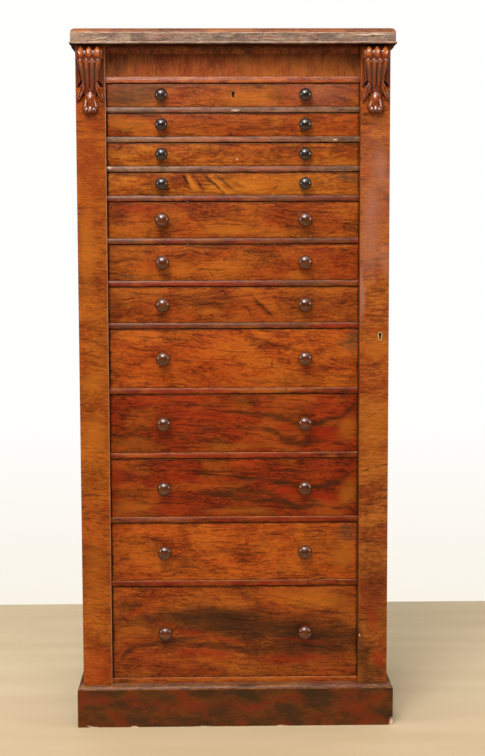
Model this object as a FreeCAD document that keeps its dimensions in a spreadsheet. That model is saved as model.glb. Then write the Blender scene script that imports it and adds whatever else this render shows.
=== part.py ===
"""A wellington chest: twelve graduated drawers between a fixed stile and a locking stile.

Millimetres, +Z up. X runs from left to right, the front looks along -Y, and the origin lies on
the floor under the middle of the whole chest. Every piece that can be taken apart is a solid of
its own, and pieces that fit each other are cut by the same shapes.
"""
import FreeCAD, Part
import math
import operator
import os

import Sketcher

SIZES = {
    # The case: sides, stiles and what overhangs them.
    "case_width": 574.0,
    "case_depth": 380.0,
    "side_thickness": 20.0,
    "stile_width": 54.0,
    "stile_thickness": 16.0,
    "stile_arris": 0.8,
    "post_depth": 50.0,
    "back_thickness": 8.0,
    "back_rebate": 8.0,
    "back_board_gap": 0.8,
    "housing_depth": 6.0,
    "frieze_height": 53.9,
    "frieze_thickness": 16.0,
    # The top board and the cove beneath it.
    "top_thickness": 28.6,
    "top_side_overhang": 6.0,
    "top_front_overhang": 31.8,
    "top_round": 9.4,
    "bead_projection": 2.2,
    "bead_height": 4.0,
    "bead_arris": 1.3,
    "cove_height": 15.0,
    "cove_projection": 9.0,
    "cove_radius": 15.0,
    "cove_setback": 3.0,
    # The plinth.
    "plinth_height": 78.6,
    "plinth_projection": 11.0,
    "plinth_thickness": 28.0,
    "plinth_round": 9.8,
    "plinth_back_thickness": 20.0,
    "corner_block": 40.0,
    # The rails between the drawers, and what the drawers run on.
    "rail_height": 10.5,
    "bottom_rail_height": 9.6,
    "rail_lip": 2.0,
    "rail_arris": 1.3,
    "rail_end_gap": 2.4,
    "tenon_length": 8.0,
    "tenon_thickness": 5.0,
    "tenon_width": 26.0,
    "runner_bearing": 12.0,
    "guide_height": 24.0,
    # The openings that the drawers fill, from one rail to the next.
    "small_opening": 43.3,
    "medium_opening": 67.9,
    "large_opening": 111.5,
    "bottom_opening": 177.4,
    # The drawers.
    "drawer_side_gap": 1.0,
    "drawer_top_gap": 2.0,
    "drawer_seat_gap": 0.3,
    "drawer_back_gap": 27.0,
    "front_thickness": 20.0,
    "front_lap": 5.0,
    "front_arris": 0.8,
    "box_side_thickness": 9.0,
    "box_back_thickness": 9.0,
    "box_side_drop": 1.5,
    "box_back_drop": 4.0,
    "box_bottom_thickness": 5.0,
    "groove_rise": 6.0,
    "groove_depth": 4.5,
    "front_groove_depth": 6.0,
    "tail_pitch": 44.0,
    "pin_width": 5.0,
    "tail_slope": 7.0,
    # The turned knobs.
    "knob_spacing": 264.0,
    "small_knob_diameter": 24.0,
    "knob_diameter": 28.0,
    "knob_flats": 18,
    # The carved corbels.
    "corbel_height": 121.0,
    "corbel_width": 52.0,
    "corbel_projection": 31.0,
    "corbel_flute_depth": 3.2,
    "corbel_top_gap": 1.0,
    # The locking stile's pivots and its running clearances.
    "stile_back_gap": 0.6,
    "stile_top_gap": 1.0,
    "stile_foot_gap": 1.2,
    "stile_turn_round": 5.0,
    "pivot_inset": 5.0,
    "pivot_setback": 10.0,
    "pin_radius": 2.5,
    "pin_clearance": 0.05,
    "pin_length_in_stile": 12.0,
    "pin_end_gap": 1.0,
    "socket_width": 11.0,
    "socket_depth": 9.0,
    # The lock in the back of the stile, its bolt and its keep.
    "stile_key_inset": 16.0,
    "stile_key_level": 737.0,
    "stile_lock_inset": 23.0,
    "stile_lock_width": 30.0,
    "stile_lock_height": 54.0,
    "stile_lock_thickness": 9.0,
    "lock_wall": 1.4,
    "stile_bolt_inset": 31.0,
    "stile_bolt_width": 6.0,
    "stile_bolt_thickness": 3.0,
    "stile_bolt_length": 20.0,
    "stile_bolt_setback": 10.0,
    "bolt_clearance": 0.2,
    "keep_width": 11.0,
    "keep_thickness": 4.0,
    "keep_projection": 7.5,
    "keep_eye_wall": 1.0,
    "keep_eye_clearance": 0.5,
    "keep_clearance": 1.5,
    "keep_plate_height": 34.0,
    "keep_plate_thickness": 2.0,
    # The lock behind the first drawer's front.
    "drawer_lock_width": 44.0,
    "drawer_lock_height": 30.0,
    "drawer_lock_thickness": 7.0,
    "drawer_bolt_width": 14.0,
    "drawer_bolt_thickness": 3.0,
    "drawer_bolt_length": 15.0,
    "drawer_bolt_travel": 8.0,
    "bolt_end_gap": 1.0,
    # The keyholes, and the brass thread that lines the one in the stile.
    "stile_key_head": 3.0,
    "stile_key_slot": 3.4,
    "stile_key_drop": 9.0,
    "stile_thread": 1.5,
    "drawer_key_head": 2.3,
    "drawer_key_slot": 2.4,
    "drawer_key_drop": 7.0,
    "thread_depth": 2.5,
}

SIGNS = {"+": operator.add, "-": operator.sub, "*": operator.mul, "/": operator.truediv}

# The edges of a board that get worked, by the numbers that a box gives them.
EDGES = {
    "front_left": "Edge1",
    "left_top": "Edge2",
    "left_foot": "Edge4",
    "front_right": "Edge5",
    "right_top": "Edge6",
    "back_right": "Edge7",
    "right_foot": "Edge8",
    "front_foot": "Edge9",
    "front_top": "Edge10",
}

# How the drawers are graduated, from the top one down.
DRAWERS = ("small",) * 4 + ("medium",) * 3 + ("large",) * 4 + ("bottom",)

# A turned knob's profile from its foot to its crown: radius and reach, as shares of its diameter.
KNOB_PROFILE_SHARES = (
    (0.25, 0.0),
    (0.17, 0.2),
    (0.48, 0.5),
    (0.5, 0.58),
    (0.43, 0.74),
    (0.2, 0.87),
)

# A corbel's sections from its tip to its head: height, half width, projection and flute shares.
CORBEL_SECTION_SHARES = (
    (0.0, 0.16, 0.1, 0.2),
    (0.02, 0.36, 0.3, 0.4),
    (0.07, 0.48, 0.42, 0.6),
    (0.14, 0.4, 0.3, 0.5),
    (0.17, 0.88, 0.22, 0.5),
    (0.27, 0.74, 0.25, 0.7),
    (0.36, 0.58, 0.34, 0.8),
    (0.38, 0.94, 0.32, 0.8),
    (0.5, 0.76, 0.48, 0.8),
    (0.64, 0.82, 0.7, 0.8),
    (0.78, 0.92, 0.9, 0.9),
    (0.92, 0.98, 1.0, 1.0),
    (1.0, 1.0, 0.97, 1.0),
)

# Across a corbel from its middle outwards: place, and how much of the flute is cut away there.
CORBEL_FLUTE_SHARES = ((0.0, 1.0), (0.25, 0.0), (0.5, 1.0), (0.75, 0.1), (1.0, 1.9))


class Size:
    """A length with the formula that gives it from the sheet of sizes."""

    def __init__(self, value, formula):
        self.value = value
        self.formula = formula

    def __add__(self, other):
        return combined(self, "+", other)

    def __radd__(self, other):
        return combined(other, "+", self)

    def __sub__(self, other):
        return combined(self, "-", other)

    def __rsub__(self, other):
        return combined(other, "-", self)

    def __mul__(self, other):
        return combined(self, "*", other)

    def __rmul__(self, other):
        return combined(other, "*", self)

    def __truediv__(self, other):
        return combined(self, "/", other)

    def __neg__(self):
        return combined(0, "-", self)


def combined(left, sign, right):
    """Work out two sizes joined by a sign, and write down the formula."""
    values = [item.value if isinstance(item, Size) else item for item in (left, right)]
    formulas = [item.formula if isinstance(item, Size) else repr(item) for item in (left, right)]
    return Size(SIGNS[sign](*values), f"({formulas[0]} {sign} {formulas[1]})")


def make_sheet():
    """Write the sheet of sizes and return each of them under its name."""
    sheet = doc.addObject("Spreadsheet::Sheet", "Sizes")
    for row, (name, value) in enumerate(SIZES.items(), start=1):
        sheet.set(f"A{row}", name)
        sheet.set(f"B{row}", str(value))
        sheet.setAlias(f"B{row}", name)
    doc.recompute()
    return {name: Size(float(getattr(sheet, name)), f"Sizes.{name}") for name in SIZES}


def bind(thing, **formulas):
    """Tie properties of a feature to sizes; two underlines in a name stand for a dot."""
    for name, size in formulas.items():
        if isinstance(size, Size):
            thing.setExpression(name.replace("__", "."), size.formula)


def place(thing, x=0, y=0, z=0):
    """Tie a feature's place to sizes."""
    bind(thing, Placement__Base__x=x, Placement__Base__y=y, Placement__Base__z=z)


def block(name, x, y, z):
    """Add a square block that reaches from the first to the second of each pair of places."""
    solid = doc.addObject("Part::Box", name)
    bind(solid, Length=x[1] - x[0], Width=y[1] - y[0], Height=z[1] - z[0])
    place(solid, x[0], y[0], z[0])
    return solid


def worked_board(name, x, y, z, rounds=(), chamfers=(), edge_size=None):
    """Add a board as a body, with some of its edges rounded or chamfered by one size."""
    body = doc.addObject("PartDesign::Body", name)
    board = body.newObject("PartDesign::AdditiveBox", name + "_board")
    bind(board, Length=x[1] - x[0], Width=y[1] - y[0], Height=z[1] - z[0])
    place(body, x[0], y[0], z[0])
    doc.recompute()
    if rounds:
        edge = body.newObject("PartDesign::Fillet", name + "_round")
        edge.Base = (board, [EDGES[word] for word in rounds])
        bind(edge, Radius=edge_size)
    if chamfers:
        edge = body.newObject("PartDesign::Chamfer", name + "_chamfer")
        edge.Base = (board, [EDGES[word] for word in chamfers])
        bind(edge, Size=edge_size)
    return body


def upright_dowel(name, radius, x, y, z):
    """Add a round dowel that stands between two heights."""
    solid = doc.addObject("Part::Cylinder", name)
    bind(solid, Radius=radius, Height=z[1] - z[0])
    place(solid, x, y, z[0])
    return solid


def level_dowel(name, radius, x, y, z):
    """Add a round dowel that lies along Y, between two such places."""
    solid = doc.addObject("Part::Cylinder", name)
    solid.Placement = FreeCAD.Placement(
        FreeCAD.Vector(0, 0, 0), FreeCAD.Rotation(FreeCAD.Vector(1, 0, 0), 90)
    )
    bind(solid, Radius=radius, Height=y[1] - y[0])
    place(solid, x, y[1], z)
    return solid


def joined(name, *pieces):
    """Glue pieces into one solid."""
    solid = doc.addObject("Part::MultiFuse", name)
    solid.Shapes = list(pieces)
    return solid


def together(name, *pieces):
    """Hold pieces in one node as separate solids."""
    group = doc.addObject("Part::Compound", name)
    group.Links = list(pieces)
    return group


def less(name, piece, *tools):
    """Cut one or more shapes out of a piece."""
    solid = doc.addObject("Part::Cut", name)
    solid.Base = piece
    solid.Tool = tools[0] if len(tools) == 1 else together(name + "_tools", *tools)
    return solid


def moved(name, piece, x=0, y=0, z=0):
    """Repeat a piece at another place."""
    copy = together(name, piece)
    place(copy, x, y, z)
    return copy


def mirrored(name, piece):
    """Repeat a piece on the other side of the chest."""
    copy = doc.addObject("Part::Mirroring", name)
    copy.Source = piece
    copy.Normal = (1, 0, 0)
    return copy


def on_both_sides(name, piece):
    """Hold a piece and its mirror image in one group."""
    return together(name, piece, mirrored(name + "_mirror", piece))


def draw_outline(body, plane, points, hollow=None):
    """Draw a closed outline of places, listed clockwise, on a plane of the body.

    A hollow is the radius of an arc that bends inwards between the last point and the first.
    """
    sketch = body.newObject("Sketcher::SketchObject", body.Name + "_outline")
    planes = [item for item in body.Origin.OriginFeatures if item.Role == plane]
    sketch.AttachmentSupport = [(planes[0], "")]
    sketch.MapMode = "FlatFace"
    corners = [FreeCAD.Vector(*[getattr(part, "value", part) for part in point]) for point in points]
    count = len(corners)
    for number, corner in enumerate(corners):
        after = corners[(number + 1) % count]
        if hollow is not None and number == count - 1:
            sketch.addGeometry(hollow_arc(corner, after, hollow.value))
        else:
            sketch.addGeometry(Part.LineSegment(corner, after))
    for number, point in enumerate(points):
        for kind, axis, part in (("DistanceX", -2, point[0]), ("DistanceY", -1, point[1])):
            if isinstance(part, Size):
                corner = Sketcher.Constraint(kind, -1, 1, number, 1, part.value)
                bind_constraint(sketch, corner, f"corner_{number}_{kind}", part)
            else:
                sketch.addConstraint(Sketcher.Constraint("PointOnObject", number, 1, axis))
        sketch.addConstraint(Sketcher.Constraint("Coincident", number, 2, (number + 1) % count, 1))
    if hollow is not None:
        radius = Sketcher.Constraint("Radius", count - 1, hollow.value)
        bind_constraint(sketch, radius, "hollow", hollow)
    return sketch


def bind_constraint(sketch, constraint, name, size):
    """Add a constraint to a sketch under a name and tie it to a size."""
    index = sketch.addConstraint(constraint)
    sketch.renameConstraint(index, name)
    sketch.setExpression(f"Constraints.{name}", size.formula)


def hollow_arc(start, end, radius):
    """Give the arc that turns left on its way from start to end."""
    middle = (start + end) / 2
    along = end - start
    left = FreeCAD.Vector(-along.y, along.x, 0).normalize()
    centre = middle + left * math.sqrt(radius**2 - (along.Length / 2) ** 2)
    circle = Part.Circle(centre, FreeCAD.Vector(0, 0, 1), radius)
    return Part.ArcOfCircle(circle, circle.parameter(start), circle.parameter(end))


def cove_strip(name, plane, length, outwards):
    """Add a strip of cove moulding, its back edge against a wall and its top under the top board."""
    body = doc.addObject("PartDesign::Body", name)
    height = size["cove_height"]
    reach = size["cove_projection"] * outwards
    outline = draw_outline(body, plane, ((reach, height), (0, height), (0, 0)), size["cove_radius"])
    pad = body.newObject("PartDesign::Pad", name + "_run")
    pad.Profile = outline
    bind(pad, Length=length)
    return body


def skin(rings, warped):
    """Close a solid of flat facets over a row of rings, each ring flat and of as many points.

    Where the bands between the rings are warped, each of their facets is split into two triangles.
    """
    outlines = [rings[0], rings[-1]]
    for low, high in zip(rings, rings[1:]):
        for number in range(len(low)):
            facet = [low[number - 1], low[number], high[number], high[number - 1]]
            outlines += [facet[:3], facet[2:] + facet[:1]] if warped else [facet]
    faces = [Part.Face(Part.makePolygon(outline + outline[:1])) for outline in outlines]
    shell = Part.makeShell(faces)
    shell.sewShape()
    solid = Part.makeSolid(shell)
    if solid.Volume < 0:
        solid.reverse()
    return solid


def turned_knob(name, diameter):
    """Turn a knob in flats, with its foot on y 0 and its crown to the front."""
    flats = round(size["knob_flats"].value)
    rings = []
    for radius_share, reach_share in KNOB_PROFILE_SHARES:
        radius = diameter.value * radius_share
        angles = [math.tau * number / flats for number in range(flats)]
        rings.append([
            FreeCAD.Vector(
                radius * math.cos(angle), -diameter.value * reach_share, radius * math.sin(angle)
            )
            for angle in angles
        ])
    knob = doc.addObject("Part::Feature", name)
    knob.Shape = skin(rings, warped=False)
    return knob


def keyhole(name, x, y, z, head, slot, drop):
    """Add the shape of a keyhole that runs from the first to the second of the y places."""
    round_head = level_dowel(name + "_head", head, x, y, z)
    stem = block(name + "_stem", (x - slot / 2, x + slot / 2), y, (z - drop, z))
    return joined(name, round_head, stem)


def carved_corbel(name, x, y, z):
    """Carve a console: a fluted leaf that spreads into leaflets at two levels and ends in a tip.

    Its head is at height z, its middle at x and its back at y.
    """
    width = size["corbel_width"].value / 2
    height = size["corbel_height"].value
    reach = size["corbel_projection"].value
    flute = size["corbel_flute_depth"].value
    across_shares = [(-place_share, cut_share) for place_share, cut_share in CORBEL_FLUTE_SHARES[:0:-1]]
    across_shares += CORBEL_FLUTE_SHARES
    rings = []
    for height_share, width_share, reach_share, flute_share in CORBEL_SECTION_SHARES:
        level = height * height_share
        half = width * width_share
        points = [FreeCAD.Vector(half, 0, level), FreeCAD.Vector(-half, 0, level)]
        for place_share, cut_share in across_shares:
            depth = reach * reach_share - flute * flute_share * reach_share * cut_share
            points.append(FreeCAD.Vector(half * place_share, -depth, level))
        rings.append(points)
    corbel = doc.addObject("Part::Feature", name)
    corbel.Shape = skin(rings, warped=True)
    place(corbel, x, y, z - size["corbel_height"])
    return corbel


def dovetails(name, count, x, y, height, tip_in_front):
    """Add the tails on one end of a drawer side, spread evenly over its height."""
    pitch = height / count
    wide = pitch - size["pin_width"]
    flare = (y[1] - y[0]) / size["tail_slope"]
    tails = []
    for number in range(count):
        tail = doc.addObject("Part::Wedge", f"{name}_{number + 1}")
        for word in ("Xmin", "X2min", "Ymin", "Zmin", "Z2min"):
            setattr(tail, word, 0)
        bind(tail, Xmax=x[1] - x[0], X2max=x[1] - x[0], Ymax=y[1] - y[0])
        if tip_in_front:
            bind(tail, Zmax=wide, Z2min=flare, Z2max=wide - flare)
        else:
            bind(tail, Zmin=flare, Zmax=wide - flare, Z2max=wide)
        place(tail, x[0], y[0], pitch * number + size["pin_width"] / 2)
        tails.append(tail)
    return tails


def make_drawer(kind):
    """Model a drawer of one height with its underside at z 0; return its front and its box."""
    height = size[f"{kind}_opening"] - size["drawer_seat_gap"] - size["drawer_top_gap"]
    side_height = height - size["box_side_drop"]
    half = inner_half - size["drawer_side_gap"]
    side_x = (half - size["box_side_thickness"], half)
    full_x = (-half, half)
    front_y = (case_y, case_y + size["front_thickness"])
    box_end = back_face - size["drawer_back_gap"]
    back_y = (box_end - size["box_back_thickness"], box_end)
    groove_top = size["groove_rise"] + size["box_bottom_thickness"]
    count = math.ceil(side_height.value / size["tail_pitch"].value)

    side = joined(
        f"{kind}_side_tailed",
        block(f"{kind}_side_board", side_x, (front_y[1], back_y[0]), (size["zero"], side_height)),
        *dovetails(f"{kind}_front_tail", count, side_x, (front_y[0] + size["front_lap"], front_y[1]),
                   side_height, True),
        *dovetails(f"{kind}_back_tail", math.ceil(count / 2), side_x, back_y, side_height, False),
    )
    groove_half = half - size["box_side_thickness"] + size["groove_depth"]
    bottom = block(
        f"{kind}_bottom",
        (-groove_half, groove_half),
        (front_y[1] - size["front_groove_depth"], box_end),
        (size["groove_rise"], groove_top),
    )
    right_side = less(f"{kind}_right_side", side, bottom)
    left_side = mirrored(f"{kind}_left_side", right_side)
    front_board = worked_board(
        f"{kind}_front_board", full_x, front_y, (size["zero"], height),
        chamfers=("front_left", "front_right", "front_foot", "front_top"), edge_size=size["front_arris"],
    )
    front = less(f"{kind}_front", front_board, right_side, left_side, bottom)
    back_board = block(f"{kind}_back_board", full_x, back_y, (groove_top, height - size["box_back_drop"]))
    back = less(f"{kind}_back", back_board, right_side, left_side)
    return front, together(f"{kind}_box", right_side, left_side, back, bottom), height


def make_drawer_lock(front, underside, height):
    """Let a lock into the first drawer's front; return the front, the lock, its bolt and a mortise.

    The mortise is the room for the bolt in the rail above, open at the rail's underside.
    """
    top = underside + height
    lock_half = size["drawer_lock_width"] / 2
    inside_y = case_y + size["front_thickness"]
    case_front = inside_y - size["drawer_lock_thickness"]
    lock_z = (top - size["drawer_lock_height"], top)
    bolt_half = size["drawer_bolt_width"] / 2
    bolt_front = case_front + size["lock_wall"] * 2
    bolt_y = (bolt_front, bolt_front + size["drawer_bolt_thickness"])
    bolt_top = top - size["bolt_end_gap"]
    bolt_z = (bolt_top - size["drawer_bolt_length"], bolt_top)
    clearance = size["bolt_clearance"]
    key_z = underside + height / 2 + size["drawer_key_drop"] / 2
    zero = size["zero"]

    case_block = block("drawer_lock_block", (-lock_half, lock_half), (case_front, inside_y), lock_z)
    channel = block(
        "drawer_bolt_channel",
        (-bolt_half - clearance, bolt_half + clearance),
        (bolt_y[0] - clearance, bolt_y[1] + clearance),
        (bolt_z[0] - clearance, top),
    )
    key_size = (size["drawer_key_head"], size["drawer_key_slot"], size["drawer_key_drop"])
    hole = keyhole("drawer_keyhole", zero, (case_y, bolt_y[0]), key_z, *key_size)
    lock_case = less("drawer_lock_case", case_block, channel, hole)
    bolt = block("drawer_lock_bolt", (-bolt_half, bolt_half), bolt_y, bolt_z)
    cut_front = less("drawer_01_front", front, case_block, hole)
    mortise_z = (
        top + size["drawer_top_gap"],
        bolt_top + size["drawer_bolt_travel"] + size["bolt_end_gap"],
    )
    mortise = block(
        "rail_mortise",
        (-bolt_half - size["bolt_end_gap"], bolt_half + size["bolt_end_gap"]),
        (bolt_y[0] - size["bolt_end_gap"], bolt_y[1] + size["bolt_end_gap"]),
        mortise_z,
    )
    return cut_front, lock_case, bolt, mortise


def make_drawers(floors):
    """Make all twelve drawers, each as a front, a box and a pair of knobs."""
    patterns = {kind: make_drawer(kind) for kind in dict.fromkeys(DRAWERS)}
    knobs = {}
    for kind, diameter in (("small", size["small_knob_diameter"]), ("large", size["knob_diameter"])):
        knob = turned_knob(f"{kind}_knob", diameter)
        place(knob, size["knob_spacing"] / 2, case_y)
        knobs[kind] = on_both_sides(f"{kind}_knobs", knob)
    for number, (kind, floor) in enumerate(zip(DRAWERS, floors), start=1):
        front, box, height = patterns[kind]
        underside = floor + size["drawer_seat_gap"]
        name = f"drawer_{number:02d}"
        if number == 1:
            plain_front = moved("drawer_01_plain_front", front, z=underside)
            placed_front, lock_case, bolt, mortise = make_drawer_lock(plain_front, underside, height)
            keep(lock_case, bolt)
        else:
            placed_front = moved(f"{name}_front", front, z=underside)
        pair = knobs["small" if kind == "small" else "large"]
        keep(
            placed_front,
            moved(f"{name}_box", box, z=underside),
            moved(f"{name}_knobs", pair, z=underside + height / 2),
        )
    return mortise


def make_rails(floors, mortise):
    """Make the rails over the drawers, the front posts that take their tenons, and the runners."""
    zero = size["zero"]
    height = size["rail_height"]
    post_y = (case_y, case_y + size["post_depth"])
    tenon_half = inner_half + size["tenon_length"]
    tenon_middle = case_y + size["post_depth"] / 2
    tenon_y = (tenon_middle - size["tenon_width"] / 2, tenon_middle + size["tenon_width"] / 2)
    tenon_z = ((height - size["tenon_thickness"]) / 2, (height + size["tenon_thickness"]) / 2)
    tenon = block("rail_tenon", (-tenon_half, tenon_half), tenon_y, tenon_z)
    main = block("rail_board", (-inner_half, inner_half), post_y, (zero, height))
    lip = front_lip("rail_lip", (zero, height))
    rail = joined("rail", main, lip, tenon)

    runner_x = (inner_half - size["runner_bearing"], side_half)
    run_y = (post_y[1], back_face)
    runner = on_both_sides("runner_pair", block("runner", runner_x, run_y, (zero, height)))
    guide_block = block("guide", (inner_half, side_half), run_y, (zero, size["guide_height"]))
    guide = on_both_sides("guide_pair", guide_block)

    rails, tenons, runners = [], [], []
    for number, (kind, floor) in enumerate(zip(DRAWERS, floors), start=1):
        underside = floor + size[f"{kind}_opening"]
        placed = moved(f"rail_{number:02d}", rail, z=underside)
        rails.append(less("rail_01_mortised", placed, mortise) if number == 1 else placed)
        tenons.append(moved(f"tenon_{number:02d}", tenon, z=underside))
        runners.append(moved(f"runner_{number:02d}", runner, z=underside))
        runners.append(moved(f"guide_{number:02d}", guide, z=floor))

    post_block = block("post_block", (inner_half, side_half), post_y, (floors[-1], top_underside))
    post = less("post_right", post_block, *tenons)
    keep(together("drawer_rails", *rails), together("drawer_runners", *runners))
    return post, mirrored("post_left", post)


def front_lip(name, z):
    """Add the strip along a rail's front edge, which stops short of the locking stile."""
    return worked_board(
        name,
        (-inner_half, inner_half - size["rail_end_gap"]),
        (case_y - size["rail_lip"], case_y),
        z,
        chamfers=("front_top",),
        edge_size=size["rail_arris"],
    )


def make_case():
    """Make the sides, the back boards, the carcass bottom, the frieze and the left stile."""
    ledge = size["plinth_height"]
    bottom_z = (ledge, ledge + size["bottom_rail_height"])
    housing_half = side_half + size["housing_depth"]
    bottom_board = block("bottom_board", (-housing_half, housing_half), (case_y, back_face), bottom_z)
    keep(joined("carcass_bottom", bottom_board, front_lip("bottom_lip", bottom_z)))

    rebate_half = side_half + size["back_rebate"]
    upright_z = (ledge, top_underside)
    back_space = block("back_space", (-rebate_half, rebate_half), (back_face, back_end), upright_z)
    side_board = block("side_board", (-case_half, -side_half), (case_y, back_end), upright_z)
    left_side = less("left_side_panel", side_board, back_space, bottom_board)
    keep(left_side, mirrored("right_side_panel", left_side))

    third = rebate_half * 2 / 3
    gap = size["back_board_gap"]
    boards = []
    for number, low_gap, high_gap in ((0, 0, gap), (1, 0, gap), (2, 0, 0)):
        low = -rebate_half + third * number + low_gap
        high = -rebate_half + third * (number + 1) - high_gap
        boards.append(block(f"back_board_{number + 1}", (low, high), (back_face, back_end), upright_z))
    keep(together("back_boards", *boards))

    frieze_y = (case_y, case_y + size["frieze_thickness"])
    frieze_z = (top_underside - size["frieze_height"], top_underside)
    keep(block("frieze_panel", (-inner_half, inner_half), frieze_y, frieze_z))
    keep(worked_board(
        "left_stile", (-case_half, -inner_half), (stile_y, case_y), upright_z,
        chamfers=("front_left", "front_right"), edge_size=size["stile_arris"],
    ))


def make_top(socket):
    """Make the top board with its bead, and the cove moulding under it."""
    half = case_half + size["top_side_overhang"]
    front = stile_y - size["top_front_overhang"]
    bead = size["bead_projection"]
    fascia = worked_board(
        "fascia_board", (-half, half), (front, back_end),
        (top_underside, top_underside + size["top_thickness"]),
        rounds=("front_top", "left_top", "right_top"), edge_size=size["top_round"],
    )
    bead_strip = worked_board(
        "bead_board", (-half - bead, half + bead), (front - bead, back_end),
        (top_underside, top_underside + size["bead_height"]),
        chamfers=("front_top", "left_top", "right_top", "front_foot", "left_foot", "right_foot"),
        edge_size=size["bead_arris"],
    )
    keep(less("top_board", joined("top_moulded", fascia, bead_strip), socket))

    cove_z = top_underside - size["cove_height"]
    side_run = size["case_depth"] - size["cove_setback"]
    left = cove_strip("left_cove", "XZ_Plane", side_run, -1)
    place(left, -case_half, back_end, cove_z)
    front_run = inner_half * 2 - size["rail_end_gap"]
    middle = cove_strip("front_cove", "YZ_Plane", front_run, -1)
    place(middle, -inner_half, case_y, cove_z)
    keep(together("bed_moulding", left, mirrored("right_cove", left), middle))


def make_plinth(socket):
    """Make the plinth: a front with a rounded ledge, two returns, a back and corner blocks."""
    zero = size["zero"]
    height = (zero, size["plinth_height"])
    outer = case_half + size["plinth_projection"]
    inner = outer - size["plinth_thickness"]
    front = stile_y - size["plinth_projection"]
    joint = front + size["plinth_thickness"]
    front_board = worked_board(
        "plinth_front_board", (-outer, outer), (front, joint), height,
        rounds=("front_top", "left_top", "right_top"), edge_size=size["plinth_round"],
    )
    keep(less("plinth_front", front_board, socket))
    left = worked_board(
        "plinth_left", (-outer, -inner), (joint, back_end), height,
        rounds=("left_top",), edge_size=size["plinth_round"],
    )
    back_front = back_end - size["plinth_back_thickness"]
    back = block("plinth_back", (-inner, inner), (back_front, back_end), height)
    side = size["corner_block"]
    corners = []
    for word, y in (("front", (joint, joint + side)), ("rear", (back_front - side, back_front))):
        corner = block(f"{word}_corner", (inner - side, inner), y, height)
        corners.append(on_both_sides(f"{word}_corners", corner))
    keep(together("plinth_frame", left, mirrored("plinth_right", left), back, *corners))


def make_pivots():
    """Make the locking stile's two pins and the square brass sockets that they turn in."""
    x = case_half - size["pivot_inset"]
    y = stile_y + size["pivot_setback"]
    ledge = size["plinth_height"]
    top_of_stile = top_underside - size["stile_top_gap"]
    foot_of_stile = ledge + size["stile_foot_gap"]
    bore = size["pin_radius"] + size["pin_clearance"]
    levels = {
        "head": (
            (top_underside, top_underside + size["socket_depth"]),
            (top_of_stile - size["pin_length_in_stile"],
             top_underside + size["socket_depth"] - size["pin_end_gap"]),
        ),
        "foot": (
            (ledge - size["socket_depth"], ledge),
            (ledge - size["socket_depth"] + size["pin_end_gap"],
             foot_of_stile + size["pin_length_in_stile"]),
        ),
    }
    spaces, sockets, pins = {}, [], []
    for word, (socket_z, pin_z) in levels.items():
        spaces[word] = block(
            f"{word}_socket_space",
            (x - size["socket_width"] / 2, x + size["socket_width"] / 2),
            (y - size["socket_width"] / 2, y + size["socket_width"] / 2),
            socket_z,
        )
        hole = upright_dowel(f"{word}_socket_bore", bore, x, y, socket_z)
        sockets.append(less(f"{word}_socket", spaces[word], hole))
        pins.append(upright_dowel(f"{word}_pin", size["pin_radius"], x, y, pin_z))
    keep(together("pivot_sockets", *sockets), together("pivot_pins", *pins))
    return spaces, pins


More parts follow.
